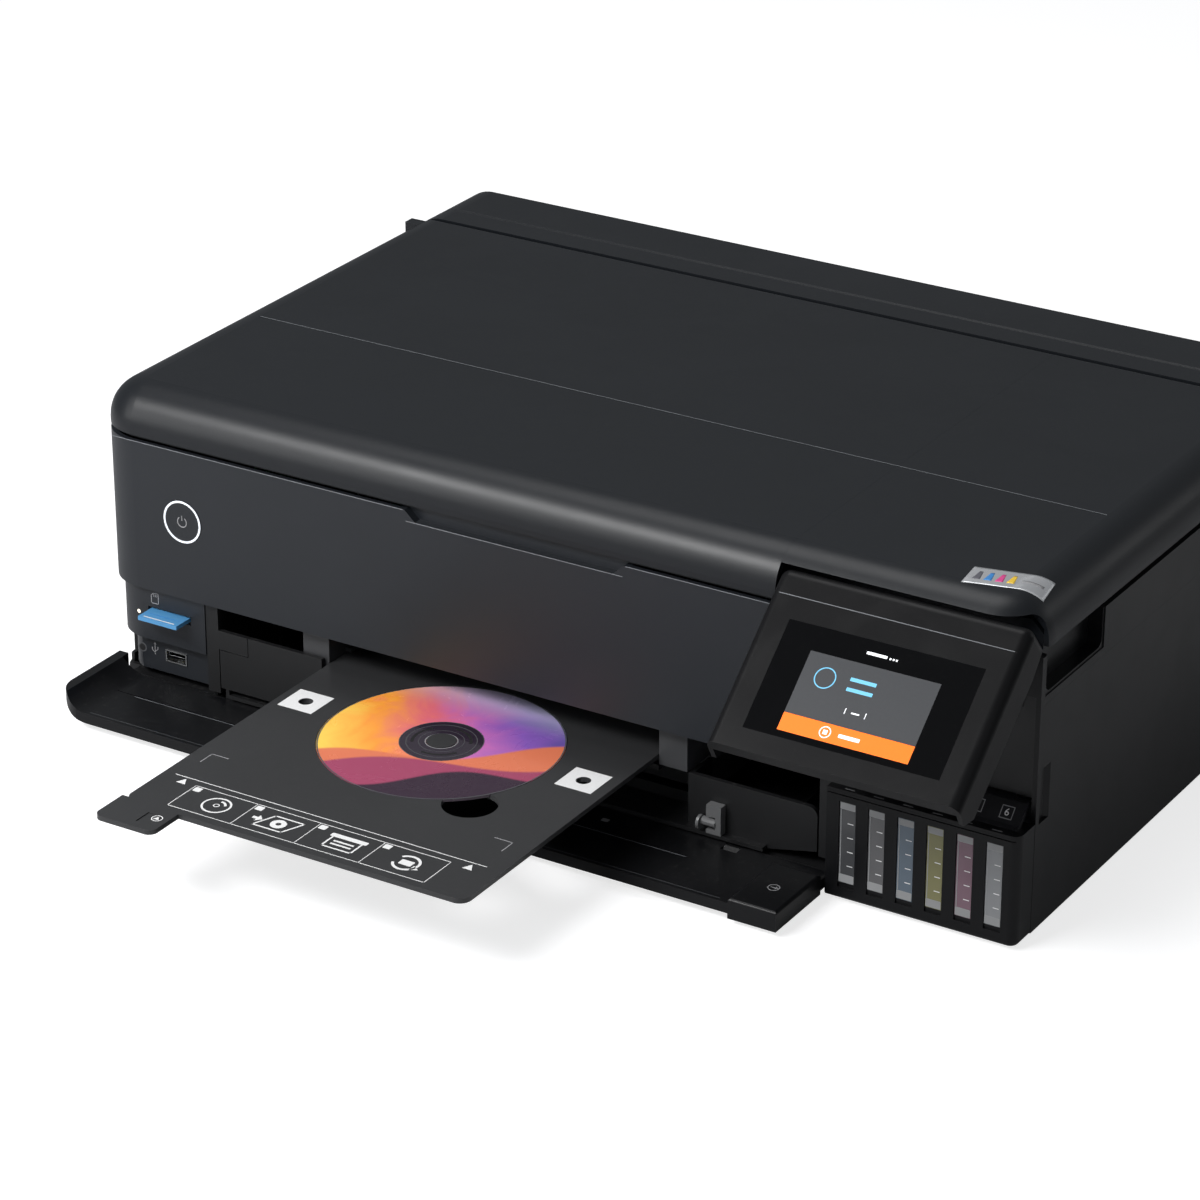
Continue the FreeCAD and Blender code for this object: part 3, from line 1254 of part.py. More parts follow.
def tray_guide():
    """The guide of the disc tray: two grooved rails and the bridge over the exit roller."""
    rail_front = cassette_left_face + wall + 1.0
    rail_back = exit_roller_y + 18.0
    pieces = []
    for edge, side in ((tray_left, -1), (tray_right, 1)):
        outer = edge + side * 16.0
        gap = edge + side * 0.5
        bar = block(min(gap, outer), max(gap, outer), rail_front, rail_back, cassette_right_top + 0.4,
                    front_panel_bottom - 1.5)
        low_bar = block(min(gap, outer), max(gap, outer), recess_back + 2, rail_back, 34.4, cassette_right_top + 1)
        inner = edge - side * 3.0
        lip = block(min(inner, outer), max(inner, outer), rail_front + 14, rail_back, tray_top + 0.6, tray_top + 3.0)
        ledge = block(min(inner, outer), max(inner, outer), rail_front + 4, rail_back,
                      output_bottom + output_thickness + 0.5, tray_top - tray_thickness - 0.4)
        foot = block(min(inner, outer), max(inner, outer), recess_back + 2, rail_back, 34.4, output_bottom - 0.4)
        pieces += [bar, low_bar, lip, ledge, foot]
    for edge, side in ((photo_left, -1), (photo_right, 1)):
        near = edge + side * 0.4
        far = edge + side * 3.4
        hanger = block(min(near, far), max(near, far), recess_back + 4, rail_back, photo_bottom - 2.1, 35.0)
        under = edge - side * 3.0
        shelf = block(min(under, far), max(under, far), recess_back + 4, rail_back,
                      photo_bottom - 2.1, photo_bottom - 0.3)
        pieces += [hanger, shelf]
    front = exit_roller_y - 8.0
    back = exit_roller_y + 8.0
    left = frame_left + frame_wall
    right = frame_right - frame_wall
    bridge = block(left, right, front, back, tray_top + 2.5, frame_head_top)
    bridge_hollow = block(left + 3, right - 3, front + 2, back - 2, tray_top, frame_head_top - 2.2)
    pieces.append(bridge.cut(bridge_hollow))
    shape = joined(pieces)
    reach = exit_roller_radius + 1.0
    roller_space = block(left + 1.0, right - 1.0, exit_roller_y - reach, exit_roller_y + reach,
                         exit_roller_z() - reach, exit_roller_z() + reach)
    reach = star_radius + 0.8
    star_space = block(left + 3.2, right - 3.2, exit_roller_y - reach, exit_roller_y + reach,
                       star_z() - reach, star_z() + reach)
    tray_space = block(tray_left - 0.5, tray_right + 0.5, 0, 200, tray_top - tray_thickness - 0.4, tray_top + 0.6)
    output_space = block(tray_left - 0.5, tray_right + 0.5, 0, 200, output_bottom - 0.4,
                         output_bottom + output_thickness + 0.5)
    shape = shape.cut(roller_space).cut(star_space).cut(tray_space).cut(output_space)
    axle_holes = bore_x(1.0 + running_clearance, left - 1, right + 1, exit_roller_y, star_z())
    return shape.cut(axle_holes)


def exit_roller_z():
    """Height of the exit roller's axis."""
    return tray_top - tray_thickness - path_clearance - exit_roller_radius


def feed_roller_z():
    """Height of the feed roller's axis."""
    return tray_top - tray_thickness - path_clearance - feed_roller_radius


def star_z():
    """Height of the star wheels' axle."""
    return tray_top + path_clearance + star_radius


def pinch_z():
    """Height of the pinch rollers' axle."""
    return tray_top + path_clearance + pinch_radius


def exit_roller():
    """The exit roller: a steel shaft with rubber rolls."""
    z = exit_roller_z()
    shaft = side_profile(corners_about(16, roller_shaft_radius, exit_roller_y, z), frame_left + 0.2, frame_right - 0.2)
    pieces = [shaft]
    for step in range(6):
        x = disc_x - 82.0 + 33.0 * step
        pieces.append(side_profile(corners_about(16, exit_roller_radius, exit_roller_y, z), x - 6, x + 6))
    return joined(pieces)


def feed_roller():
    """The feed roller: a long coated roll on its shaft, with a drive pulley outside the frame."""
    z = feed_roller_z()
    left = frame_left + frame_wall + 3
    right = frame_right - frame_wall - 3
    shaft = rod_x(roller_shaft_radius, frame_left - 12, frame_right - 0.2, feed_roller_y, z)
    roll = side_profile(corners_about(24, feed_roller_radius, feed_roller_y, z), left, right)
    pulley_wheel = side_profile(corners_about(24, 15.0, feed_roller_y, z), frame_left - 11, frame_left - 3)
    waist = side_profile(corners_about(24, 16.5, feed_roller_y, z), frame_left - 3.8, frame_left - 3)
    return joined([shaft, roll, pulley_wheel, waist])


def star_outline(teeth, tip, root, y, z):
    """A pointed wheel's outline of (y, z) points."""
    points = []
    for step in range(2 * teeth):
        turn = math.pi * step / teeth
        reach = root if step % 2 else tip
        points.append((y + reach * math.cos(turn), z + reach * math.sin(turn)))
    return points


def star_wheels():
    """The thin toothed wheels above the exit roller, on one axle."""
    left = frame_left + frame_wall
    right = frame_right - frame_wall
    z = star_z()
    pieces = [side_profile(corners_about(12, 1.0, exit_roller_y, z), left + 0.4, right - 0.4)]
    for step in range(6):
        x = disc_x - 82.0 + 33.0 * step
        outline = star_outline(8, star_radius, star_radius - 1.3, exit_roller_y, z)
        pieces.append(side_profile(outline, x - 0.6, x + 0.6))
    return joined(pieces)


def pinch_rollers():
    """The pinch rollers above the feed roller, on one axle."""
    z = pinch_z()
    left = pinch_x(0) - 21.0
    right = pinch_x(4) + 21.0
    pieces = [side_profile(corners_about(12, 1.2, feed_roller_y, z), left, right)]
    for step in range(5):
        x = pinch_x(step)
        pieces.append(side_profile(corners_about(16, pinch_radius, feed_roller_y, z), x - 14, x + 14))
    return joined(pieces)


def pinch_x(step):
    """Middle X of a pinch roller."""
    return frame_left + 39.0 + 70.0 * step


def platen():
    """The ribbed platen under the print head."""
    left = frame_left + frame_wall
    right = frame_right - frame_wall
    top = tray_top - tray_thickness - 0.4
    front = exit_roller_y + 20.0
    back = feed_roller_y - 9.0
    plate = block(left, right, front, back, top - 5.0, top - 2.0)
    pieces = [plate]
    for step in range(12):
        x = left + 14.0 + 29.0 * step
        pieces.append(block(x - 1.2, x + 1.2, front + 4, back - 2, top - 2.5, top))
    return joined(pieces)


# ---------------------------------------------------------------- print mechanism
def print_rail():
    """The folded sheet-steel rail that carries the carriage, with its legs and pinch arms."""
    web = block(rail_left, rail_right, rail_y, rail_y + sheet, rail_bottom, rail_top)
    top_flange = block(rail_left, rail_right, rail_y - 16, rail_y + sheet, rail_top - sheet, rail_top)
    low_flange = block(rail_left, rail_right, rail_y - 4, rail_y + sheet, rail_bottom, rail_bottom + sheet)
    pieces = [web, top_flange, low_flange]
    for x in (rail_left, rail_right - sheet):
        pieces.append(block(x, x + sheet, rail_y, rail_y + 18, foot_height + wall, rail_top))
    for x in (pinch_x(0) - 17.5, pinch_x(2) - 35.0, pinch_x(2) + 35.0, pinch_x(4) + 17.5):
        arm = side_profile(
            [(feed_roller_y + 6, rail_bottom + 1), (rail_y - 4, rail_bottom + 1), (feed_roller_y - 3, pinch_z() + 3),
             (feed_roller_y - 3, pinch_z() - 2), (feed_roller_y + 3, pinch_z() - 2)], x - 1.5, x + 1.5)
        pieces.append(arm)
    shape = joined(pieces)
    shape = shape.cut(bore_x(1.2 + running_clearance, pinch_x(0) - 20, pinch_x(4) + 20, feed_roller_y, pinch_z()))
    for x in (pulley_left_x, pulley_right_x):
        shape = shape.cut(rod_y(pulley_shaft_radius + running_clearance, rail_y - 1, rail_y + 4, x, belt_z))
    return shape


def print_carriage():
    """The carriage with its stepped head, belt clamp and slide shoes."""
    body = side_profile(
        [(carriage_front, carriage_bottom), (carriage_back, carriage_bottom), (carriage_back, carriage_top),
         (carriage_front + 22, carriage_top), (carriage_front, carriage_top - 26)],
        carriage_left, carriage_right)
    head = block(carriage_left + 12, carriage_right - 12, carriage_front + 8, carriage_back - 8,
                 head_bottom, carriage_bottom + 1)
    pieces = [body, head]
    for x in (carriage_left + 4, carriage_right - 24):
        pieces.append(block(x, x + 20, carriage_back - 1, rail_y - 0.3, belt_z + 10.5, carriage_top))
        pieces.append(block(x, x + 20, carriage_back - 1, rail_y - 0.3, 66.0, belt_z - 10.5))
    clamp_x = (carriage_left + carriage_right) / 2
    pieces.append(block(clamp_x - 6, clamp_x + 6, carriage_back - 1, belt_y - 0.4, belt_z - 10, belt_z - 4))
    shape = joined(pieces)
    for step in range(6):
        x = carriage_left + 7.5 + 14.0 * step
        shape = shape.cut(block(x, x + 10.0, carriage_front + 26, carriage_back - 6,
                                carriage_top - 7, carriage_top + 1))
    return shape


def drive_belts():
    """The toothed belt of the carriage and the belt of the feed roller."""
    reach = pulley_radius + 0.3
    outer = reach + belt_thickness

    def loop(radius):
        """A stadium round both carriage pulleys."""
        left = front_profile(corners_about(24, radius, pulley_left_x, belt_z), belt_y, belt_y + belt_width)
        right = front_profile(corners_about(24, radius, pulley_right_x, belt_z), belt_y, belt_y + belt_width)
        flat = radius * math.cos(math.pi / 24)
        middle = block(pulley_left_x, pulley_right_x, belt_y, belt_y + belt_width, belt_z - flat, belt_z + flat)
        return joined([left, right, middle])

    carriage_belt = loop(outer).cut(loop(reach))
    return carriage_belt


def pulley(x):
    """A flanged belt pulley with its shaft through the rail."""
    hub = front_profile(corners_about(24, pulley_radius, x, belt_z), belt_y - 0.2, belt_y + belt_width + 0.2)
    flange = front_profile(corners_about(24, pulley_radius + 1.2, x, belt_z), belt_y - 1.2, belt_y - 0.2)
    shaft = rod_y(pulley_shaft_radius, belt_y - 1, rail_y + 3.5, x, belt_z)
    return joined([hub, flange, shaft])


def drive_motors():
    """The carriage motor behind the rail and the feed motor beside the frame."""
    can = corners_about(24, 11.5, pulley_left_x, belt_z)
    carriage_motor = front_profile(can, rail_y + sheet, rail_y + sheet + 28.0)
    bore = front_profile(corners_about(12, pulley_shaft_radius + 0.4, pulley_left_x, belt_z), rail_y,
                         rail_y + sheet + 4.0)
    carriage_motor = carriage_motor.cut(bore)
    middle = feed_roller_y - 42.0
    feed_motor = side_profile(corners_about(24, 15.0, middle, 24.0), frame_left - 40.0, frame_left - 14.0)
    boss = side_profile(corners_about(12, 5.0, middle, 24.0), frame_left - 15.0, frame_left)
    saddle = block(frame_left - 38.0, frame_left - 16.0, middle - 10, middle + 10, foot_height + wall, 12.0)
    return Part.makeCompound([carriage_motor, joined([feed_motor, boss, saddle])])


def capping_station():
    """The parking and wiping station under the carriage's rest place."""
    base = block(carriage_left + 10, carriage_right - 5, carriage_front + 4, carriage_back - 4,
                 foot_height + wall, 34.0)
    deck = block(carriage_left + 10, carriage_right - 5, carriage_front + 8, carriage_back - 8, 33.0, 40.0)
    pieces = [base, deck]
    for step in range(3):
        x = carriage_left + 18.0 + 21.0 * step
        cup = block(x, x + 16, carriage_front + 12, carriage_back - 12, 39.0, head_bottom - 0.4)
        cup = cup.cut(block(x + 2, x + 14, carriage_front + 14, carriage_back - 14, head_bottom - 3.5, head_bottom))
        pieces.append(cup)
    pieces.append(block(carriage_left + 11, carriage_left + 12.5, carriage_front + 12, carriage_back - 12,
                        39.0, head_bottom - 0.4))
    return joined(pieces)


def maintenance_box():
    """The replaceable box that takes waste ink, behind its cover in the rear wall."""
    front = body_depth - 120.0
    middle = (service_left + service_right) / 2
    body = block(service_left + 2, service_right - 2, front, body_depth - 1.6, service_bottom + 1, service_top - 2)
    cover = block(service_left + 0.4, service_right - 0.4, body_depth - 2.0, body_depth,
                  service_bottom + 0.4, service_top - 0.4)
    handle = block(middle - 10, middle + 10, body_depth - 0.5, body_depth + 1.5, 30.0, 33.0)
    rest = block(service_left + 10, service_right - 10, front + 3, body_depth - 15, foot_height + wall,
                 service_bottom + 1.5)
    return joined([body, cover, handle, rest])


def main_board():
    """The main board on the left, with its row of sockets in the rear wall."""
    face = 11.5 - half_width
    end = body_depth - 12.0
    start = end - 213.0
    low = socket_bottom - 6.0
    board = block(face, face + 1.6, start, end, low, low + 72.0)
    pieces = [board, block(face + 1.4, face + 6.0, start + 60, start + 86, low + 24, low + 50),
              block(face + 1.4, face + 5.0, start + 110, start + 126, low + 16, low + 32),
              block(face, face + 6.0, start + 20, start + 30, foot_height + wall, low + 2.0)]
    carrier = block(socket_left, socket_right, body_depth - 2.6, body_depth - 0.3, socket_bottom, socket_top)
    middle = (socket_left + socket_right) / 2 - 2.0
    front = body_depth - 16.0
    network = block(middle - 8, middle + 8, front, body_depth - 0.5, socket_bottom + 15, socket_bottom + 29)
    serial = block(middle - 6, middle + 6, front, body_depth - 0.5, socket_bottom + 2.5, socket_bottom + 13.5)
    bracket = block(face + 1, middle + 7.5, front, front + 2.0, socket_bottom + 4, socket_bottom + 28)
    shape = joined(pieces + [carrier, network, serial, bracket])
    network_mouth = block(middle - 5.9, middle + 5.9, body_depth - 11.0, body_depth + 1,
                          socket_bottom + 18, socket_bottom + 26.4)
    serial_mouth = block(middle - 4.2, middle + 4.2, body_depth - 10.0, body_depth + 1,
                         socket_bottom + 4, socket_bottom + 12)
    serial_tongue = block(middle - 2.8, middle + 2.8, body_depth - 10.5, body_depth - 1.5,
                          socket_bottom + 6.4, socket_bottom + 9.6)
    return shape.cut(network_mouth).cut(serial_mouth.cut(serial_tongue))


def power_supply():
    """The power supply with its two-pin inlet in the rear wall."""
    left = 7.5 - half_width
    right = left + 54.0
    back = body_depth - 15.0
    front = back - 100.0
    top = inlet_bottom + 34.0
    box = block(left, right, front, back, foot_height + wall, top)
    fins = []
    for step in range(6):
        x = left + 4.0 + 8.0 * step
        fins.append(block(x, x + 4.0, front + 4, back - 30, top - 1, top + 2))
    middle = inlet_left + inlet_width / 2
    centre_z = inlet_bottom + inlet_height / 2
    inlet = block(inlet_left, inlet_left + inlet_width, back - 1, body_depth, inlet_bottom,
                  inlet_bottom + inlet_height)
    mouth = block(middle - 8.5, middle + 8.5, body_depth - 12.0, body_depth + 1, centre_z - 4.5, centre_z + 4.5)
    mouth = mouth.makeChamfer(3.0, [e for e in mouth.Edges if along(e, Vector(0, 1, 0))])
    shape = joined([box, inlet] + fins).cut(mouth)
    pins = []
    for side in (-1, 1):
        x = middle + side * 4.3
        pins.append(front_profile(corners_about(12, 1.2, x, centre_z), body_depth - 13.0, body_depth - 2.0))
    return joined([shape] + pins)


# ---------------------------------------------------------------- rear paper feed
def feeder_hopper():
    """The sloping rear paper hopper with its side cheeks and the paper path down to the roller."""
    top = hopper_top
    low = tray_top + 6.7
    left = hopper_left + 4
    right = hopper_right - 4
    bend = rail_y + 56.0
    foot = rail_y + 20.0
    floor = side_profile(
        [(hopper_back - 2.5, top), (hopper_back, top), (bend, low), (foot, low - 3.0), (foot, low - 0.6),
         (bend - 1, low + 2.4)], left, right)
    front_guide = side_profile(
        [(hopper_back - 28.5, top), (hopper_back - 26.5, top), (bend - 4, low + 23), (foot + 6, low + 14),
         (foot + 5, low + 16), (bend - 5, low + 25)], left, right)
    pieces = [floor, front_guide]
    for x in (hopper_left, hopper_right - 4.0):
        cheek = side_profile(
            [(hopper_back - 32.5, top + 1), (hopper_back, top + 1), (hopper_back, top - 3), (bend, low - 2.5),
             (foot, low - 4.4), (foot, low + 18), (bend - 6, low + 27)], x, x + 4.0)
        pieces.append(cheek)
        pieces.append(block(x, x + 4.0, body_depth - 45, body_depth - 41, foot_height + wall, hopper_top - 41))
    return joined(pieces)


def edge_guide():
    """The sliding guide that squares the paper in the hopper."""
    x = hopper_left + 12.0
    back = hopper_back - 7.1
    top = hopper_top - 4.0
    blade = side_profile([(back - 22.6, top), (back, top), (back - 38, top - 38), (back - 60.6, top - 38)], x, x + 2.0)
    slider = side_profile([(back - 4, top - 1.4), (back - 1.4, top - 1.4), (back - 35.4, top - 35.4),
                           (back - 38, top - 35.4)], x, x + 16.0)
    return joined([blade, slider])


def paper_support():
    """The pull-up paper support in its rails behind the rear wall."""
    plate = block(support_left, support_right, support_front, support_front + support_thickness,
                  support_bottom + 2.4, support_top)
    window = block(support_left + 40, support_right - 40, support_front - 1, support_front + 5,
                   support_bottom + 14, support_top - 26)
    window = soften(window, 8.0, lambda c, e: along(e, Vector(0, 1, 0)))
    grip = block(-40, 10, support_front - 1, support_front + 1.2, support_top - 12, support_top - 6)
    plate = soften(plate, 6.0, lambda c, e: along(e, Vector(0, 1, 0)) and c.z > support_top - 0.01)
    return plate.cut(window).cut(grip)


def rear_cover():
    """The rounded removable cover over the rear paper turn."""
    back = body_depth + rear_bulge
    outer = block(bulge_left, bulge_right, body_depth + 0.3, back, bulge_bottom, bulge_top)
    outer = soften(outer, 10.0, lambda c, e: c.y > back - 0.01)
    hollow = block(bulge_left + wall, bulge_right - wall, body_depth - 1, back - wall,
                   bulge_bottom + wall, bulge_top - wall)
    hollow = hollow.makeChamfer(6.0, [e for e in hollow.Edges if e.CenterOfMass.y > back - wall - 0.01])
    gap = block(support_left - 6, support_right + 6, body_depth - 1, support_front + support_thickness + 3.5,
                bulge_top - wall - 3, bulge_top + 1)
    shape = outer.cut(hollow).cut(gap)
    for x in (bulge_left + 30, bulge_right - 50):
        tab = block(x, x + 20, back - 4.0, back + 1, bulge_top - 22, bulge_top - 16)
        shape = shape.cut(tab)
    louvres = []
    for step in range(9):
        x = -130.0 + 26.0 * step
        louvres.append(block(x, x + 16.0, back - 0.8, back + 1, 40.0, 42.0))
    for louvre in louvres:
        shape = shape.cut(louvre)
    hooks = []
    for x in (bulge_left + wall, bulge_right - wall - 10):
        hooks.append(block(x, x + 10, body_depth + 0.3, body_depth + 8, 30.0, 34.0))
    return joined([shape] + hooks)


# ---------------------------------------------------------------- output
builders = {
    "bottom_frame": bottom_frame,
    "rubber_feet": rubber_feet,
    "left_side_cover": lambda: side_cover(-1),
    "right_side_cover": lambda: side_cover(1),
    "rear_frame": rear_frame,
    "front_panel": front_panel,
    "front_frame": front_frame,
    "card_slot_panel": card_slot_panel,
    "usb_port": usb_port,
    "memory_card": memory_card,
    "power_button": power_button,
    "case_screws": case_screws,
    "tank_housing": tank_housing,
    "filler_caps": filler_caps,
    "ink_tank_cover": ink_tank_cover,
    "label_deck": label_deck,
    "panel_bay": panel_bay,
    "hinge_pins": hinge_pins,
    "control_panel_housing": control_panel_housing,
    "screen_glass": screen_glass,
    "front_cover": front_cover,
    "paper_cassette": paper_cassette,
    "cassette_latch": cassette_latch,
    "photo_cassette": photo_cassette,
    "output_tray": output_tray,
    "disc_tray": disc_tray,
    "disc": disc,
    "tray_guide": tray_guide,
    "exit_roller": exit_roller,
    "feed_roller": feed_roller,
    "star_wheels": star_wheels,
    "pinch_rollers": pinch_rollers,
    "platen": platen,
    "print_rail": print_rail,
    "print_carriage": print_carriage,
    "drive_belts": drive_belts,
    "motor_pulley": lambda: pulley(pulley_left_x),
    "idler_pulley": lambda: pulley(pulley_right_x),
    "drive_motors": drive_motors,
    "capping_station": capping_station,
    "maintenance_box": maintenance_box,
    "main_board": main_board,
    "power_supply": power_supply,
    "feeder_hopper": feeder_hopper,
    "edge_guide": edge_guide,
    "paper_support": paper_support,
    "rear_cover": rear_cover,
    "scanner_base": scanner_base,
    "scanner_front_rail": scanner_front_rail,
    "scanner_glass": scanner_glass,
    "scan_carriage": scan_carriage,
    "document_cover": document_cover,
    "cover_pad": cover_pad,
    "rear_feeder_cover": rear_feeder_cover,
}
for index in range(tank_count):
    builders["ink_tank_%d" % (index + 1)] = lambda place=index: ink_tank(place)


def main():
    """Build every piece and write it to its own file."""
    os.makedirs("parts", exist_ok=True)
    for name, build in builders.items():
        shape = build()
        shape.translate(Vector(0, front_y, 0))
        shape.exportStep(os.path.join("parts", name + ".step"))
        solids = len(shape.Solids)
        print("%-22s solids %d valid %s faces %d" % (name, solids, shape.isValid(), len(shape.Faces)))


main()
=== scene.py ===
"""Dresses the disc label printer: finishes for every moulding and the printed and lit details on them."""
import json
import logging
import math
from dataclasses import dataclass
from enum import Enum
from typing import Sequence

import bmesh
import bpy
from bpy.types import ColorRamp, Material, Mesh, Node, NodeSocket, NodeTree, Object
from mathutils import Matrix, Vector


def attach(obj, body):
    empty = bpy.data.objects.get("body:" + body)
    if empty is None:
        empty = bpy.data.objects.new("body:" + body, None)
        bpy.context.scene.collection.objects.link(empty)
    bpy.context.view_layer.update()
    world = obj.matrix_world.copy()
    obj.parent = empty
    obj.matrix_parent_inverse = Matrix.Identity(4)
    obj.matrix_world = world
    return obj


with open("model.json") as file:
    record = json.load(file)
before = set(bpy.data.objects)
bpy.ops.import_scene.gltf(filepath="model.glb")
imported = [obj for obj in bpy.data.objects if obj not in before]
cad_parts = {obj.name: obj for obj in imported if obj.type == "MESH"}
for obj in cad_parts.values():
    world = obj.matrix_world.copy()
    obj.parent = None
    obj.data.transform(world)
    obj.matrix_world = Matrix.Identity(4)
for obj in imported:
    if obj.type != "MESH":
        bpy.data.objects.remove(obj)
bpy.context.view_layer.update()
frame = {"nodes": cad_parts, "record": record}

log = logging.getLogger("disc_printer")

# Metres in a millimetre, and the front panel's face in the row frame, in millimetres.
MM = 0.001
FRONT_FACE_Y = -95.0
# How far printed marks stand out of the face they lie on, in millimetres.
PRINT = 0.05
# Steps round a rounded corner, and the height of a numeral as a share of its type size.
CORNER_STEPS = 4
NUMERAL_SHARE = 0.70
# Edges are lighter than their moulding, partly from rubbed wear and partly as a painted edge highlight;
# dust is this colour; mould grain is this deep, in metres.
EDGE_GAIN, EDGE_LIFT = 1.5, 0.02
DUST_COLOUR = (0.45, 0.44, 0.42)
GRAIN_DEPTH = 0.00012
Colour = tuple[float, float, float]
Point2 = tuple[float, float]


class Carrier(str, Enum):
    """The moving or fixed body that a detail rides on."""

    BODY = "body"
    SCANNER = "scanner_unit"
    LID = "scanner_lid"
    PANEL = "control_panel"
    BUTTON = "power_key"
    CARD = "card"
    DISC_TRAY = "cd_tray"
    FRONT_DOOR = "front_door"
    CARRIAGE = "carriage"


def place(x: float, y: float, z: float) -> Vector:
    """Turn millimetres measured from the front panel's face into the row frame.

    Args:
        x: distance to the right of the middle.
        y: distance behind the face of the front panel.
        z: height above the table.

    Returns:
        The point in metres.
    """
    return Vector((x * MM, (y + FRONT_FACE_Y) * MM, z * MM))


# ------------------------------------------------------------------ shader tools
class Graph:
    """Adds nodes to one node tree, with their inputs given as values or sockets."""

    def __init__(self, tree: NodeTree) -> None:
        """Keep the tree that the nodes go into."""
        self.tree = tree

    def feed(self, node: Node, inputs: dict) -> None:
        """Give a node's inputs what they need.

        Args:
            node: the node.
            inputs: values or sockets, by the input's name or number.
        """
        for key, value in inputs.items():
            if isinstance(value, NodeSocket):
                self.tree.links.new(value, node.inputs[key])
            else:
                node.inputs[key].default_value = value

    def node(self, kind: str, inputs: dict | None = None, **settings: object) -> Node:
        """Add a node.

        Args:
            kind: Blender's name for the node type.
            inputs: values or sockets, by the input's name or number.
            settings: the node's own properties.

        Returns:
            The new node.
        """
        made = self.tree.nodes.new(kind)
        for key, value in settings.items():
            setattr(made, key, value)
        self.feed(made, inputs or {})
        return made

    def coordinates(self) -> NodeSocket:
        """Add the object's own coordinates and return them."""
        return self.node("ShaderNodeTexCoord").outputs["Object"]

    def noise(self, vector: NodeSocket, scale: object, detail: float,
              **more: float) -> NodeSocket:
        """Add a noise texture.

        Args:
            vector: where it is read.
            scale: its scale, a value or a socket.
            detail: how many finer layers it has.
            more: its other inputs, by their names.

        Returns:
            Its value.
        """
        inputs = {"Vector": vector, "Scale": scale, "Detail": detail, **more}
        return self.node("ShaderNodeTexNoise", inputs).outputs[0]

    def math(self, operation: str, *values: object) -> NodeSocket:
        """Add a Math node and return its output."""
        return self.node("ShaderNodeMath", dict(enumerate(values)), operation=operation).outputs[0]

    def ramp(self, value: NodeSocket, low: float, high: float) -> NodeSocket:
        """Map a value to 0 to 1 between two limits, smoothly."""
        inputs = {0: value, 1: low, 2: high}
        return self.node("ShaderNodeMapRange", inputs, interpolation_type="SMOOTHSTEP").outputs[0]

    def mix(self, factor: object, first: object, second: object) -> NodeSocket:
        """Mix two colours, each a colour or a socket.

        Args:
            factor: the second one's share.
            first: the colour at 0.
            second: the colour at 1.

        Returns:
            The mixed colour.
        """
        colours = {number: value if isinstance(value, NodeSocket) else (*value, 1.0)
                   for number, value in ((6, first), (7, second))}
        return self.node("ShaderNodeMix", {0: factor, **colours}, data_type="RGBA").outputs[2]


OpenGroup = tuple[NodeTree, Graph, Node, Node]


class EffectGroups:
    """The shader node groups that several finishes share."""

    def __init__(self) -> None:
        """Build every group once."""
        self.texture = self._texture()
        self.wear = self._wear()

    @staticmethod
    def _open(name: str, inputs: dict[str, float], outputs: Sequence[str]) -> OpenGroup:
        """Start a group with float sockets.

        Args:
            name: the group's name.
            inputs: input names with their defaults.
            outputs: output names.

        Returns:
            The tree, its graph, and its input and output nodes.
        """
        tree = bpy.data.node_groups.new(name, "ShaderNodeTree")
        for label, value in inputs.items():
            socket = tree.interface.new_socket(label, in_out="INPUT", socket_type="NodeSocketFloat")
            socket.default_value = value
        for label in outputs:
            tree.interface.new_socket(label, in_out="OUTPUT", socket_type="NodeSocketFloat")
        graph = Graph(tree)
        return tree, graph, graph.node("NodeGroupInput"), graph.node("NodeGroupOutput")

    def _texture(self) -> NodeTree:
        """Build the spark-eroded mould texture: a fine height, and a broad patchiness.

        Returns:
            The group's tree.
        """
        tree, graph, given, result = self._open(
            "mould_texture", {"Grain": 3000.0, "Patch": 18.0}, ("Height", "Patches"))
        coordinates = graph.coordinates()
        fine = graph.noise(coordinates, given.outputs["Grain"], 3.0, Roughness=0.6)
        broad = graph.noise(coordinates, given.outputs["Patch"], 4.0, Roughness=0.55, Distortion=0.4)
        graph.feed(result, {"Height": fine, "Patches": graph.ramp(broad, 0.32, 0.68)})
        return tree

    def _wear(self) -> NodeTree:
        """Build handled edges, which also carry a painted edge highlight, finger smears and settled dust,
        each as a mask.

        Returns:
            The group's tree.
        """
        tree, graph, given, result = self._open(
            "handling_wear_and_edge_highlight", {"Edge Width": 0.0006, "Smear Scale": 26.0}, ("Edges", "Smears", "Dust"))
        coordinates = graph.coordinates()
        geometry = graph.node("ShaderNodeNewGeometry")
        rounded = graph.node("ShaderNodeBevel", {"Radius": given.outputs["Edge Width"]}, samples=4)
        facing = graph.node("ShaderNodeVectorMath", {0: rounded.outputs[0], 1: geometry.outputs["Normal"]},
                            operation="DOT_PRODUCT")
        # edge mask: rubbed wear, and also where a painted edge highlight lightens the colour
        sharp = graph.ramp(facing.outputs["Value"], 0.995, 0.90)
        broken = graph.ramp(graph.noise(coordinates, 140.0, 3.0), 0.35, 0.62)
        smear = graph.noise(coordinates, given.outputs["Smear Scale"], 6.0, Roughness=0.62, Distortion=1.6)
        upward = graph.node("ShaderNodeSeparateXYZ", {0: geometry.outputs["Normal"]}).outputs[2]
        specks = graph.ramp(graph.noise(coordinates, 420.0, 2.0), 0.58, 0.78)
        graph.feed(result, {"Edges": graph.math("MULTIPLY", sharp, broken),
                            "Smears": graph.ramp(smear, 0.46, 0.72),
                            "Dust": graph.math("MULTIPLY", graph.ramp(upward, 0.55, 1.0), specks)})
        return tree


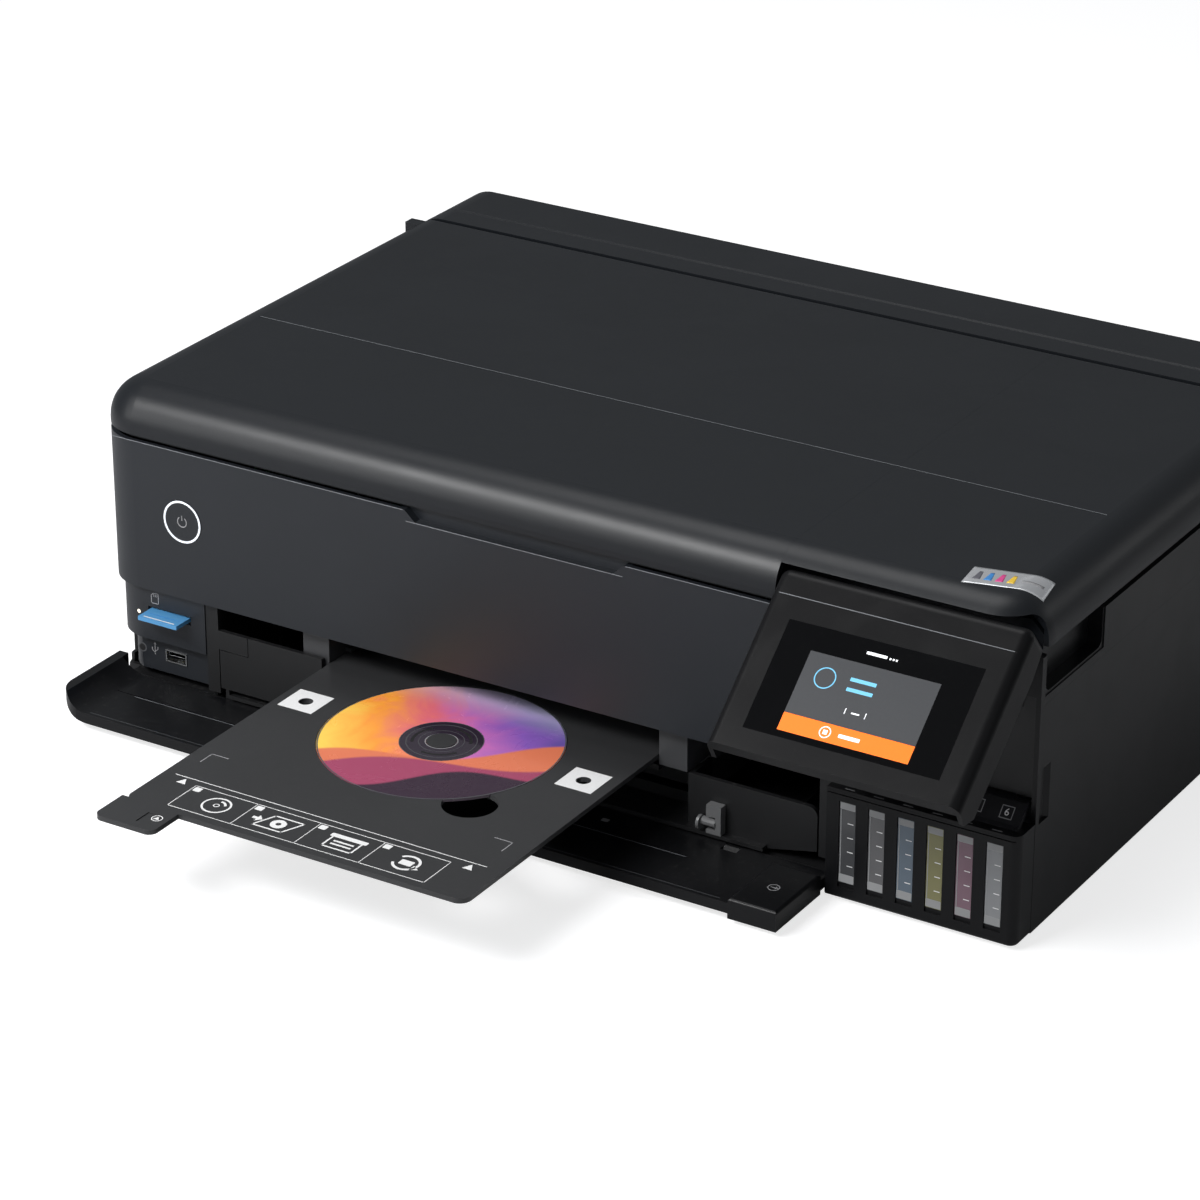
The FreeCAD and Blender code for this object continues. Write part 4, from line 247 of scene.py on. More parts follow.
def new_material(name: str) -> tuple[Material, Graph, Node]:
    """Start a material with a Principled BSDF.

    Args:
        name: the material's name.

    Returns:
        The material, its graph and its shader node.
    """
    material = bpy.data.materials.new(name)
    material.use_nodes = True
    material.node_tree.nodes.clear()
    graph = Graph(material.node_tree)
    shader = graph.node("ShaderNodeBsdfPrincipled")
    graph.node("ShaderNodeOutputMaterial", {"Surface": shader.outputs[0]})
    return material, graph, shader


@dataclass(frozen=True)
class Moulding:
    """A moulded or plated surface with mould texture, smears, handled edges with a painted edge highlight,
    and dust.
    """

    name: str
    colour: Colour
    roughness: float
    grain: float = 3000.0
    relief: float = 0.15
    patchiness: float = 0.10
    smears: float = 0.05
    edge_shine: float = 0.35
    dust: float = 0.05
    metallic: float = 0.0
    coat: float = 0.0
    coat_roughness: float = 0.08
    specular: float = 0.5

    def build(self, groups: EffectGroups) -> Material:
        """Make the material.

        Args:
            groups: the shared effects.

        Returns:
            The finished material.
        """
        material, graph, shader = new_material(self.name)
        texture = graph.node("ShaderNodeGroup", {"Grain": self.grain}, node_tree=groups.texture)
        wear = graph.node("ShaderNodeGroup", node_tree=groups.wear)
        # edges are painted lighter: partly rubbed wear, partly a painted highlight
        lighter = tuple(min(1.0, c * EDGE_GAIN + EDGE_LIFT) for c in self.colour)
        darker = tuple(c * (1.0 - self.patchiness) for c in self.colour)
        base = graph.mix(texture.outputs["Patches"], darker, self.colour)
        edged = graph.mix(graph.math("MULTIPLY", wear.outputs["Edges"], self.edge_shine), base, lighter)
        dusty = graph.mix(graph.math("MULTIPLY", wear.outputs["Dust"], self.dust), edged, DUST_COLOUR)
        smeared = graph.math("MULTIPLY_ADD", wear.outputs["Smears"], self.smears, self.roughness)
        patched = graph.math("MULTIPLY_ADD", texture.outputs["Patches"], -0.04, smeared)
        worn = graph.math("MULTIPLY_ADD", wear.outputs["Edges"], -0.10 * self.edge_shine, patched)
        bump = graph.node("ShaderNodeBump", {"Height": texture.outputs["Height"], "Strength": self.relief,
                                             "Distance": GRAIN_DEPTH})
        graph.feed(shader, {"Base Color": dusty, "Roughness": worn, "Normal": bump.outputs[0],
                            "Metallic": self.metallic, "Coat Weight": self.coat,
                            "Coat Roughness": self.coat_roughness, "Specular IOR Level": self.specular})
        return material


@dataclass(frozen=True)
class Ink:
    """A flat printed or lit mark."""

    name: str
    colour: Colour
    roughness: float = 0.5
    glow: float = 0.0

    def build(self) -> Material:
        """Make the material: a slightly uneven printed film, lit where it glows.

        Returns:
            The finished material.
        """
        material, graph, shader = new_material(self.name)
        noise = graph.noise(graph.coordinates(), 900.0, 2.0)
        tone = graph.mix(noise, tuple(c * 0.88 for c in self.colour), self.colour)
        graph.feed(shader, {"Base Color": tone, "Roughness": self.roughness})
        if self.glow > 0:
            graph.feed(shader, {"Emission Color": tone, "Emission Strength": self.glow})
        return material


@dataclass(frozen=True)
class ClearGlass:
    """Float glass with faint smears."""

    name: str = "float_glass"

    def build(self, groups: EffectGroups) -> Material:
        """Make the material.

        Args:
            groups: the shared effects.

        Returns:
            The finished material.
        """
        material, graph, shader = new_material(self.name)
        wear = graph.node("ShaderNodeGroup", node_tree=groups.wear)
        rough = graph.math("MULTIPLY_ADD", wear.outputs["Smears"], 0.05, 0.02)
        graph.feed(shader, {"Base Color": (0.86, 0.93, 0.91, 1.0), "Transmission Weight": 0.9, "IOR": 1.5,
                            "Roughness": rough})
        return material


@dataclass(frozen=True)
class DiscPicture:
    """A printed disc face: layered dunes under an evening sky, in warm and violet colours, with a painted
    bluish-white glare over its back part.
    """

    name: str = "disc_print"
    centre: Point2 = (-30.0, -34.8)
    radius: float = 60.0
    # the sky's colours along its slant, and each dune's height, swing, pitch and colour
    sky: tuple[tuple[float, Colour], ...] = (
        (0.05, (1.0, 0.72, 0.12)), (0.28, (1.0, 0.36, 0.05)), (0.45, (0.80, 0.16, 0.20)),
        (0.60, (0.58, 0.16, 0.48)), (0.78, (0.26, 0.11, 0.50)), (1.0, (0.07, 0.08, 0.30)))
    dunes: tuple[tuple[float, float, float, Colour], ...] = (
        (-0.20, 0.10, 4.2, (0.75, 0.20, 0.10)), (-0.38, 0.13, 3.1, (0.36, 0.06, 0.13)),
        (-0.60, 0.10, 5.0, (0.035, 0.018, 0.035)))

    def build(self, groups: EffectGroups) -> Material:
        """Make the material.

        Args:
            groups: the shared effects.

        Returns:
            The finished material.
        """
        material, graph, shader = new_material(self.name)
        middle = place(self.centre[0], self.centre[1], 0.0)
        scaled = graph.node("ShaderNodeMapping", {"Vector": graph.coordinates(),
                                                  "Location": (-middle.x, -middle.y, 0.0)})
        unit = graph.node("ShaderNodeVectorMath", {0: scaled.outputs[0], "Scale": 1.0 / (self.radius * MM)},
                          operation="SCALE").outputs[0]
        x, y, _ = graph.node("ShaderNodeSeparateXYZ", {0: unit}).outputs
        along = graph.math("ADD", graph.math("MULTIPLY", x, 0.72), graph.math("MULTIPLY", y, 0.42))
        cloud = graph.noise(unit, 2.2, 5.0, Roughness=0.6, Distortion=0.8)
        swayed = graph.math("ADD", along, graph.math("MULTIPLY_ADD", cloud, 0.70, -0.35))
        sky = graph.node("ShaderNodeValToRGB", {0: graph.math("MULTIPLY_ADD", swayed, 0.5, 0.5)})
        self._stops(sky.color_ramp, self.sky)
        across = graph.math("ADD", graph.math("MULTIPLY", x, -0.50), graph.math("MULTIPLY", y, 0.80))
        picture = sky.outputs[0]
        for height, swing, pitch, tone in self.dunes:
            crest = graph.math("SINE", graph.math("MULTIPLY_ADD", along, pitch, height * 9.0))
            ridge = graph.math("MULTIPLY_ADD", crest, swing, height)
            below = graph.ramp(graph.math("SUBTRACT", across, ridge), 0.02, -0.02)
            picture = graph.mix(below, picture, tone)
        # painted glare: the back part of the disc is washed towards bluish white
        painted_glare = graph.math("MULTIPLY", graph.ramp(y, 0.45, 1.05), 0.65)
        picture = graph.mix(painted_glare, picture, (0.80, 0.84, 1.0))
        wear = graph.node("ShaderNodeGroup", node_tree=groups.wear)
        rough = graph.math("MULTIPLY_ADD", wear.outputs["Smears"], 0.10, 0.24)
        graph.feed(shader, {"Base Color": picture, "Roughness": rough, "Coat Weight": 0.5,
                            "Coat Roughness": 0.10})
        return material

    @staticmethod
    def _stops(ramp: ColorRamp, stops: Sequence[tuple[float, Colour]]) -> None:
        """Fill a colour ramp.

        Args:
            ramp: the ramp to fill.
            stops: positions with their colours.
        """
        while len(ramp.elements) < len(stops):
            ramp.elements.new(0.5)
        for element, (position, colour) in zip(ramp.elements, stops):
            element.position = position
            element.color = (*colour, 1.0)


@dataclass(frozen=True)
class CircuitBoard:
    """Green solder mask with traces and pads."""

    name: str = "board"

    def build(self, groups: EffectGroups) -> Material:
        """Make the material.

        Args:
            groups: the shared effects.

        Returns:
            The finished material.
        """
        material, graph, shader = new_material(self.name)
        spun = graph.node("ShaderNodeMapping", {"Vector": graph.coordinates(),
                                                "Rotation": (0.0, math.pi / 2, 0.0)})
        traces = graph.node("ShaderNodeTexBrick", {
            "Vector": spun.outputs[0], "Scale": 90.0, "Mortar Size": 0.035,
            "Color1": (0.02, 0.12, 0.05, 1.0), "Color2": (0.03, 0.17, 0.07, 1.0),
            "Mortar": (0.07, 0.28, 0.12, 1.0)})
        wear = graph.node("ShaderNodeGroup", node_tree=groups.wear)
        rough = graph.math("MULTIPLY_ADD", wear.outputs["Dust"], 0.3, 0.35)
        graph.feed(shader, {"Base Color": traces.outputs[0], "Roughness": rough})
        return material


# ------------------------------------------------------------------ mesh tools
def put(name: str, data: object) -> Object:
    """Put new data into the scene as an object.

    Args:
        name: the object's name.
        data: its mesh, lamp or camera.

    Returns:
        The object.
    """
    made = bpy.data.objects.new(name, data)
    bpy.context.scene.collection.objects.link(made)
    return made


@dataclass(frozen=True)
class Face:
    """A flat place on the machine, with its own across and up directions, in millimetres."""

    origin: tuple[float, float, float]
    across: tuple[float, float, float] = (1.0, 0.0, 0.0)
    up: tuple[float, float, float] = (0.0, 0.0, 1.0)

    def at(self, u: float, v: float, height: float) -> Vector:
        """Find a point of the face.

        Args:
            u: distance along the across direction.
            v: distance along the up direction.
            height: distance out of the face.

        Returns:
            The point in the row frame, in metres.
        """
        across, up = Vector(self.across), Vector(self.up)
        point = Vector(self.origin) + across * u + up * v + across.cross(up) * height
        return place(*point)


def level(z: float, x: float = 0.0, y: float = 0.0) -> Face:
    """Give a level face that is seen from above.

    Args:
        z: its height.
        x: where u starts.
        y: where v starts.

    Returns:
        The face.
    """
    return Face((x, y, z), (1.0, 0.0, 0.0), (0.0, 1.0, 0.0))


class Relief:
    """Thin closed shapes gathered on a face into one mesh."""

    def __init__(self, wardrobe: "Wardrobe", face: Face, top: float, base: float) -> None:
        """Start an empty relief.

        Args:
            wardrobe: the finishes.
            face: where the shapes lie.
            top: how far they stand out, in millimetres.
            base: how far out they start.
        """
        self.wardrobe = wardrobe
        self.face = face
        self.top = top
        self.base = base
        self.mesh = bmesh.new()
        self.finishes: list[str] = []

    def _index(self, finish: str) -> int:
        """Give the slot number of a finish, adding it when it is new."""
        if finish not in self.finishes:
            self.finishes.append(finish)
        return self.finishes.index(finish)

    def shape(self, outline: Sequence[Point2], finish: str) -> "Relief":
        """Add a closed outline, in either direction, raised from the face.

        Args:
            outline: the corners.
            finish: its material.

        Returns:
            This relief, so that calls can follow one another.
        """
        area = sum(a[0] * b[1] - b[0] * a[1] for a, b in zip(outline, [*outline[1:], outline[0]]))
        corners = list(outline) if area > 0 else list(reversed(outline))
        upper = [self.mesh.verts.new(self.face.at(u, v, self.top)) for u, v in corners]
        lower = [self.mesh.verts.new(self.face.at(u, v, self.base)) for u, v in corners]
        faces = [self.mesh.faces.new(upper), self.mesh.faces.new(list(reversed(lower)))]
        for i in range(len(corners)):
            j = (i + 1) % len(corners)
            faces.append(self.mesh.faces.new((lower[i], lower[j], upper[j], upper[i])))
        for made in faces:
            made.material_index = self._index(finish)
        return self

    def slab(self, u0: float, u1: float, v0: float, v1: float, finish: str,
             corner: float = 0.0) -> "Relief":
        """Add a rectangle, with rounded corners where asked.

        Args:
            u0: its left side.
            u1: its right side.
            v0: its lower side.
            v1: its upper side.
            finish: its material.
            corner: the radius of its corners, 0 for sharp ones.

        Returns:
            This relief.
        """
        if corner <= 0:
            return self.shape([(u0, v0), (u1, v0), (u1, v1), (u0, v1)], finish)
        points = []
        for cu, cv, start in ((u1 - corner, v0 + corner, -90), (u1 - corner, v1 - corner, 0),
                              (u0 + corner, v1 - corner, 90), (u0 + corner, v0 + corner, 180)):
            for step in range(CORNER_STEPS + 1):
                turn = math.radians(start + 90 / CORNER_STEPS * step)
                points.append((cu + corner * math.cos(turn), cv + corner * math.sin(turn)))
        return self.shape(points, finish)

    def ring(self, centre: Point2, outer: float, inner: float, finish: str,
             start: float = 0.0, sweep: float = 360.0, sides: int = 48) -> "Relief":
        """Add a ring or part of one.

        Args:
            centre: its middle.
            outer: outer radius.
            inner: inner radius, 0 for a full disc.
            finish: its material.
            start: first angle in degrees.
            sweep: how far it runs.
            sides: pieces around.

        Returns:
            This relief.
        """
        turns = [math.radians(start + sweep * i / sides) for i in range(sides + (sweep < 360.0))]
        rim = [(centre[0] + outer * math.cos(a), centre[1] + outer * math.sin(a)) for a in turns]
        if inner <= 0 and sweep >= 360.0:
            return self.shape(rim, finish)
        hole = [(centre[0] + inner * math.cos(a), centre[1] + inner * math.sin(a)) for a in turns]
        if sweep < 360.0:
            return self.shape(rim + list(reversed(hole)), finish)
        rim_low, rim_high, hole_low, hole_high = (
            [self.mesh.verts.new(self.face.at(u, v, height)) for u, v in edge]
            for edge in (rim, hole) for height in (self.base, self.top))
        for i in range(len(turns)):
            j = (i + 1) % len(turns)
            for four in ((rim_high[i], rim_high[j], hole_high[j], hole_high[i]),
                         (rim_low[j], rim_low[i], hole_low[i], hole_low[j]),
                         (rim_low[i], rim_low[j], rim_high[j], rim_high[i]),
                         (hole_low[j], hole_low[i], hole_high[i], hole_high[j])):
                self.mesh.faces.new(four).material_index = self._index(finish)
        return self

    def line(self, points: Sequence[Point2], width: float, finish: str,
             closed: bool = False) -> "Relief":
        """Add a line of even width.

        Args:
            points: its corners.
            width: its width.
            finish: its material.
            closed: whether it returns to its start.

        Returns:
            This relief.
        """
        ends = list(zip(points, [*points[1:], points[0]]))
        for (u0, v0), (u1, v1) in ends if closed else ends[:-1]:
            length = math.hypot(u1 - u0, v1 - v0)
            du, dv = (u1 - u0) / length * width / 2, (v1 - v0) / length * width / 2
            self.shape([(u0 - du - dv, v0 - dv + du), (u0 - du + dv, v0 - dv - du),
                        (u1 + du + dv, v1 + dv - du), (u1 + du - dv, v1 + dv + du)], finish)
        return self

    def digits(self, text: str, centre: Point2, height: float, finish: str) -> "Relief":
        """Add numerals, centred.

        Args:
            text: the numerals.
            centre: their middle.
            height: their height.
            finish: their material.

        Returns:
            This relief.
        """
        curve = bpy.data.curves.new("numerals", "FONT")
        curve.body = text
        curve.size = height / NUMERAL_SHARE
        curve.align_x, curve.align_y = "CENTER", "CENTER"
        curve.extrude = 0.5
        curve.resolution_u = 3
        holder = bpy.data.objects.new("numerals", curve)
        flat = bpy.data.meshes.new_from_object(holder)
        bpy.data.objects.remove(holder)
        own = bmesh.new()
        own.from_mesh(flat)
        bmesh.ops.remove_doubles(own, verts=own.verts, dist=0.0001)
        verts = {}
        for v in own.verts:
            out = self.top if v.co.z > 0 else self.base
            verts[v] = self.mesh.verts.new(self.face.at(centre[0] + v.co.x, centre[1] + v.co.y, out))
        for f in own.faces:
            self.mesh.faces.new([verts[v] for v in f.verts]).material_index = self._index(finish)
        own.free()
        bpy.data.meshes.remove(flat)
        bpy.data.curves.remove(curve)
        return self

    def finish(self, name: str, carrier: Carrier, slot: str) -> Object:
        """Turn the relief into a piece that rides on a body.

        Args:
            name: the piece's name.
            carrier: what it rides on.
            slot: not used.

        Returns:
            The piece.
        """
        mesh = bpy.data.meshes.new(name)
        self.mesh.to_mesh(mesh)
        self.mesh.free()
        for finish in self.finishes:
            mesh.materials.append(self.wardrobe[finish])
        return enter(name, mesh, carrier)


def enter(name: str, mesh: Mesh, carrier: Carrier) -> Object:
    """Put a finished mesh into the scene.

    Args:
        name: the piece's name.
        mesh: its mesh, in the row frame.
        carrier: what it rides on.

    Returns:
        The piece.
    """
    piece = put(name, mesh)
    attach(piece, carrier.value)
    log.info("built %s with %d faces", name, len(mesh.polygons))
    return piece


class RowWorks:
    """A geometry tree that sets one small form out in evenly spaced rows."""

    def __init__(self) -> None:
        """Build the tree with its named inputs."""
        self.tree = bpy.data.node_groups.new("rows_of_forms", "GeometryNodeTree")
        kinds = {"Form": "NodeSocketObject", "Count": "NodeSocketInt", "Start": "NodeSocketVector",
                 "Step": "NodeSocketVector", "Rows": "NodeSocketInt", "Row Step": "NodeSocketVector",
                 "Finish": "NodeSocketMaterial"}
        self.tree.interface.new_socket("Geometry", in_out="OUTPUT", socket_type="NodeSocketGeometry")
        self.sockets = {}
        for label, kind in kinds.items():
            socket = self.tree.interface.new_socket(label, in_out="INPUT", socket_type=kind)
            self.sockets[label] = socket.identifier
        graph = Graph(self.tree)
        given = graph.node("NodeGroupInput").outputs
        form = graph.node("GeometryNodeObjectInfo", {"Object": given["Form"]})
        line = graph.node("GeometryNodeMeshLine", {"Count": given["Count"], "Offset": given["Step"],
                                                   "Start Location": given["Start"]}, mode="OFFSET")
        row = graph.node("GeometryNodeInstanceOnPoints", {"Points": line.outputs[0],
                                                          "Instance": form.outputs["Geometry"]})
        lines = graph.node("GeometryNodeMeshLine", {"Count": given["Rows"], "Offset": given["Row Step"]},
                           mode="OFFSET")
        rows = graph.node("GeometryNodeInstanceOnPoints", {"Points": lines.outputs[0],
                                                           "Instance": row.outputs[0]})
        real = graph.node("GeometryNodeRealizeInstances", {"Geometry": rows.outputs[0]})
        dressed = graph.node("GeometryNodeSetMaterial", {"Geometry": real.outputs[0],
                                                         "Material": given["Finish"]})
        graph.node("NodeGroupOutput", {0: dressed.outputs[0]})

    def set_out(self, name: str, form: Mesh, count: int, start: Vector, step: Vector,
                finish: Material, carrier: Carrier, slot: str,
                rows: int = 1, row_step: Vector = Vector((0.0, 0.0, 0.0))) -> Object:
        """Set a form out in rows and enter the result as one plain mesh.

        Args:
            name: the piece's name.
            form: the form's mesh around its own middle, in metres.
            count: how many in a row.
            start: the place of the first one, in metres.
            step: from one to the next, in metres.
            finish: their material.
            carrier: what they ride on.
            slot: not used.
            rows: how many rows.
            row_step: from one row to the next, in metres.

        Returns:
            The piece.
        """
        pattern = put(name + "_form", form)
        holder = put(name + "_rows", bpy.data.meshes.new(name + "_rows"))
        modifier = holder.modifiers.new("rows", "NODES")
        modifier.node_group = self.tree
        values = {"Form": pattern, "Count": count, "Start": start[:], "Step": step[:], "Rows": rows,
                  "Row Step": row_step[:], "Finish": finish}
        for label, value in values.items():
            modifier[self.sockets[label]] = value
        made = bpy.data.meshes.new_from_object(holder.evaluated_get(bpy.context.evaluated_depsgraph_get()))
        made.name = name
        holder.modifiers.remove(modifier)
        bpy.data.objects.remove(holder)
        bpy.data.objects.remove(pattern)
        return enter(name, made, carrier)


def wedge_form(name: str, half: Point2, depth: float, narrowing: float) -> Mesh:
    """Make a small closed bar that narrows towards one side.

    Args:
        name: the mesh's name.
        half: half its width along x and half its length along y, in millimetres.
        depth: its height along z.
        narrowing: the share of its width left at the top.

    Returns:
        The mesh, in metres.
    """
    a, b = half[0] * MM, half[1] * MM
    corners = [(-a, -b), (a, -b), (a, b), (-a, b)]
    verts = [(x, y, 0.0) for x, y in corners] + [(x * narrowing, y, depth * MM) for x, y in corners]
    faces = [(3, 2, 1, 0), (4, 5, 6, 7)] + [(i, (i + 1) % 4, (i + 1) % 4 + 4, i + 4) for i in range(4)]
    mesh = bpy.data.meshes.new(name)
    mesh.from_pydata(verts, [], faces)
    work = bmesh.new()
    work.from_mesh(mesh)
    bmesh.ops.recalc_face_normals(work, faces=work.faces)
    work.to_mesh(mesh)
    work.free()
    return mesh


# ------------------------------------------------------------------ scene
@dataclass(frozen=True)
class Lamp:
    """A soft box that faces the machine, in metres and watts."""

    name: str
    spot: tuple[float, float, float]
    width: float
    depth: float
    power: float

    def build(self, target: Vector) -> None:
        """Hang the lamp.

        Args:
            target: the point that it faces.
        """
        light = bpy.data.lights.new(self.name, "AREA")
        light.shape = "RECTANGLE"
        light.size = self.width
        light.size_y = self.depth
        light.energy = self.power
        lamp = put(self.name, light)
        lamp.location = self.spot
        lamp.rotation_euler = (target - Vector(self.spot)).to_track_quat("-Z", "Y").to_euler()


@dataclass(frozen=True)
class Studio:
    """Floor, world, lamps and camera."""

    floor_half: float = 8.0
    # the floor's own light, for the camera and for reflections
    floor_glow: float = 0.74
    floor_glossy: float = 0.05
    # the world's light on the machine, and the share of its white that reflections see
    world_light: float = 0.16
    world_glossy: float = 0.06
    lamp_target: tuple[float, float, float] = (0.0, 0.0, 0.08)
    lens: float = 130.33
    sensor: float = 36.0
    camera_spot: tuple[float, float, float] = (1006.2, -1574.3, 987.7)
    camera_pitch: float = 64.917
    camera_turn: float = 31.602
    # overhead, a long one that runs a highlight along the front roll, front, right and rear
    lamps: tuple[Lamp, ...] = (
        Lamp("overhead", (-0.5, 0.2, 2.2), 1.2, 1.2, 16.0),
        Lamp("roll_light", (-0.42, -0.86, 0.90), 0.90, 0.28, 15.0),
        Lamp("front_left", (-1.7, -1.9, 0.7), 1.0, 1.0, 13.0),
        Lamp("front_right", (1.9, -1.2, 1.1), 0.8, 0.8, 2.5),
        Lamp("rear_right", (1.7, 1.9, 0.9), 0.9, 0.7, 2.0))

    def build(self) -> None:
        """Set the whole studio up."""
        self._floor()
        self._world()
        for lamp in self.lamps:
            lamp.build(Vector(self.lamp_target))
        self._camera()
        bpy.context.scene.view_settings.view_transform = "Standard"
        log.info("studio ready")

    def _floor(self) -> None:
        """Lay a plain pale floor that shows white to the camera and keeps the shadow."""
        mesh = bpy.data.meshes.new("studio_floor")
        half = self.floor_half
        corners = [(-half, -half, 0), (half, -half, 0), (half, half, 0), (-half, half, 0)]
        mesh.from_pydata(corners, [], [(0, 1, 2, 3)])
        floor = put("studio_floor", mesh)
        material, graph, shader = new_material("studio_floor")
        path = graph.node("ShaderNodeLightPath").outputs
        seen = graph.math("ADD", path["Is Camera Ray"], path["Is Transmission Ray"])
        shown = graph.math("MULTIPLY_ADD", path["Is Glossy Ray"], self.floor_glossy,
                           graph.math("MULTIPLY", seen, self.floor_glow))
        graph.feed(shader, {"Base Color": (0.50, 0.50, 0.51, 1.0), "Roughness": 0.9,
                            "Specular IOR Level": 0.1, "Emission Color": (1.0, 1.0, 1.0, 1.0),
                            "Emission Strength": shown})
        mesh.materials.append(material)

    def _world(self) -> None:
        """Make the world white to the camera and through glass, and dimmer as a light."""
        world = bpy.data.worlds.new("studio_world")
        bpy.context.scene.world = world
        world.use_nodes = True
        world.node_tree.nodes.clear()
        graph = Graph(world.node_tree)
        path = graph.node("ShaderNodeLightPath").outputs
        seen = graph.math("ADD", path["Is Camera Ray"], path["Is Transmission Ray"])
        shown = graph.math("MULTIPLY_ADD", path["Is Glossy Ray"], self.world_glossy, seen)
        white = graph.node("ShaderNodeBackground", {"Color": (1, 1, 1, 1), "Strength": 1.0})
        lit = graph.node("ShaderNodeBackground", {"Color": (0.90, 0.95, 1, 1),
                                                  "Strength": self.world_light})
        mixed = graph.node("ShaderNodeMixShader", {0: shown, 1: lit.outputs[0], 2: white.outputs[0]})
        graph.node("ShaderNodeOutputWorld", {"Surface": mixed.outputs[0]})

    def _camera(self) -> None:
        """Set up the long-lens view from the front right."""
        data = bpy.data.cameras.new("view")
        data.lens = self.lens
        data.sensor_width = self.sensor
        camera = put("view", data)
        camera.location = place(*self.camera_spot)
        camera.rotation_euler = (math.radians(self.camera_pitch), 0.0, math.radians(self.camera_turn))
        bpy.context.scene.camera = camera


class Wardrobe:
    """The finish of every CAD node, and the inks and lit colours of the details."""

    # nodes that don't wear the finish of their slot
    DARKER_NODES: dict[str, str] = {"front_cover": "side_plastic"}

    def __init__(self, groups: EffectGroups) -> None:
        """Build the finishes.

        Args:
            groups: the shared effects.
        """
        finishes = (
            Moulding("body_plastic", (0.0062, 0.0076, 0.0100), 0.40, grain=2600.0, relief=0.22,
                     specular=0.36, patchiness=0.05, smears=0.012, dust=0.012),
            Moulding("front_plastic", (0.0125, 0.0146, 0.0185), 0.44, grain=3600.0, relief=0.28,
                     specular=0.40, patchiness=0.05, smears=0.02, dust=0.02),
            Moulding("frame_plastic", (0.0090, 0.0092, 0.0100), 0.46, grain=2200.0, relief=0.2,
                     specular=0.38),
            Moulding("side_plastic", (0.0046, 0.0048, 0.0056), 0.36, grain=2600.0, relief=0.15,
                     specular=0.24, smears=0.02, dust=0.02),
            Moulding("panel_gloss", (0.0058, 0.0058, 0.0064), 0.34, grain=1200.0, relief=0.05,
                     specular=0.14, dust=0.01),
            Moulding("screen", (0.0012, 0.0012, 0.0016), 0.09, grain=800.0, relief=0.0, specular=0.30,
                     dust=0.005),
            Moulding("tray_plastic", (0.031, 0.0315, 0.0330), 0.34, grain=3200.0, relief=0.18, dust=0.02),
            Moulding("guide_plastic", (0.044, 0.045, 0.048), 0.42, grain=2400.0, relief=0.18),
            Moulding("latch_plastic", (0.125, 0.127, 0.130), 0.40, grain=2400.0, relief=0.15),
            Moulding("label_plate", (0.014, 0.014, 0.016), 0.3),
            *(Moulding("ink_" + number, colour, 0.22, coat=0.4, relief=0.04) for number, colour in (
                ("one", (0.060, 0.062, 0.066)), ("two", (0.115, 0.115, 0.120)),
                ("three", (0.110, 0.145, 0.185)), ("four", (0.215, 0.205, 0.095)),
                ("five", (0.200, 0.120, 0.155)), ("six", (0.260, 0.268, 0.278)))),
            Moulding("cap_rubber", (0.05, 0.05, 0.055), 0.6),
            Moulding("rubber_black", (0.022, 0.022, 0.023), 0.7),
            Moulding("steel", (0.52, 0.53, 0.54), 0.28, metallic=1.0, relief=0.05),
            Moulding("motor_metal", (0.28, 0.29, 0.30), 0.35, metallic=0.8),
            Moulding("white_plastic", (0.74, 0.75, 0.74), 0.55),
            Moulding("grey_plastic", (0.085, 0.088, 0.094), 0.45),
            Moulding("card_blue", (0.085, 0.30, 0.58), 0.34, relief=0.05),
            Moulding("psu_metal", (0.20, 0.20, 0.21), 0.4, metallic=0.6),
            Moulding("clear_hub", (0.030, 0.022, 0.036), 0.10, relief=0.01, coat=0.8, dust=0.01),
            Moulding("silver_plate", (0.62, 0.63, 0.65), 0.30, relief=0.04, metallic=0.55, dust=0.02),
            Moulding("contact_gold", (0.72, 0.52, 0.20), 0.25, metallic=1.0, relief=0.02),
            # a light grey for painted highlight lines along creases, seams and edges
            Moulding("painted_highlight_line", (0.19, 0.20, 0.215), 0.35, relief=0.05),
            Moulding("tank_frost_and_highlight", (0.30, 0.305, 0.31), 0.5, relief=0.1),
        )
        inks = (
            Ink("print_white", (0.80, 0.80, 0.80)),
            Ink("print_grey", (0.30, 0.30, 0.31)),
            Ink("print_dim", (0.075, 0.078, 0.084)),
            Ink("print_black", (0.008, 0.008, 0.009)),
            Ink("ring_light", (0.80, 0.84, 0.90), 0.3, 0.42),
            Ink("lamp_white", (1.0, 0.90, 0.74), 0.3, 0.9),
            Ink("screen_grey", (0.048, 0.050, 0.054), 0.25, 0.35),
            Ink("screen_orange", (0.93, 0.165, 0.012), 0.25, 0.75),
            Ink("screen_white", (0.85, 0.87, 0.90), 0.25, 0.75),
            Ink("screen_blue", (0.14, 0.42, 0.62), 0.25, 0.8),
            Ink("drop_blue", (0.05, 0.25, 0.62), 0.3),
            Ink("drop_rose", (0.72, 0.07, 0.28), 0.3),
            Ink("drop_gold", (0.88, 0.58, 0.05), 0.3),
            Ink("drop_slate", (0.12, 0.12, 0.14), 0.3),
        )
        self.materials = {finish.name: finish.build(groups) for finish in finishes}
        self.materials.update({ink.name: ink.build() for ink in inks})
        for special in (ClearGlass(), DiscPicture(), CircuitBoard()):
            self.materials[special.name] = special.build(groups)
        self.materials["flat_glass"] = self.materials["float_glass"]

    def __getitem__(self, name: str) -> Material:
        """Give a finish by name."""
        return self.materials[name]

    def dress(self) -> None:
        """Give each CAD node the finish of its slot."""
        for entry in frame["record"]["subparts"]:
            node = frame["nodes"][entry["node"]]
            material = self.materials[self.DARKER_NODES.get(entry["node"], entry["material_slot"])]
            if not node.data.materials:
                node.data.materials.append(material)
            for index in range(len(node.data.materials)):
                node.data.materials[index] = material
            log.info("dressed %s", entry["node"])


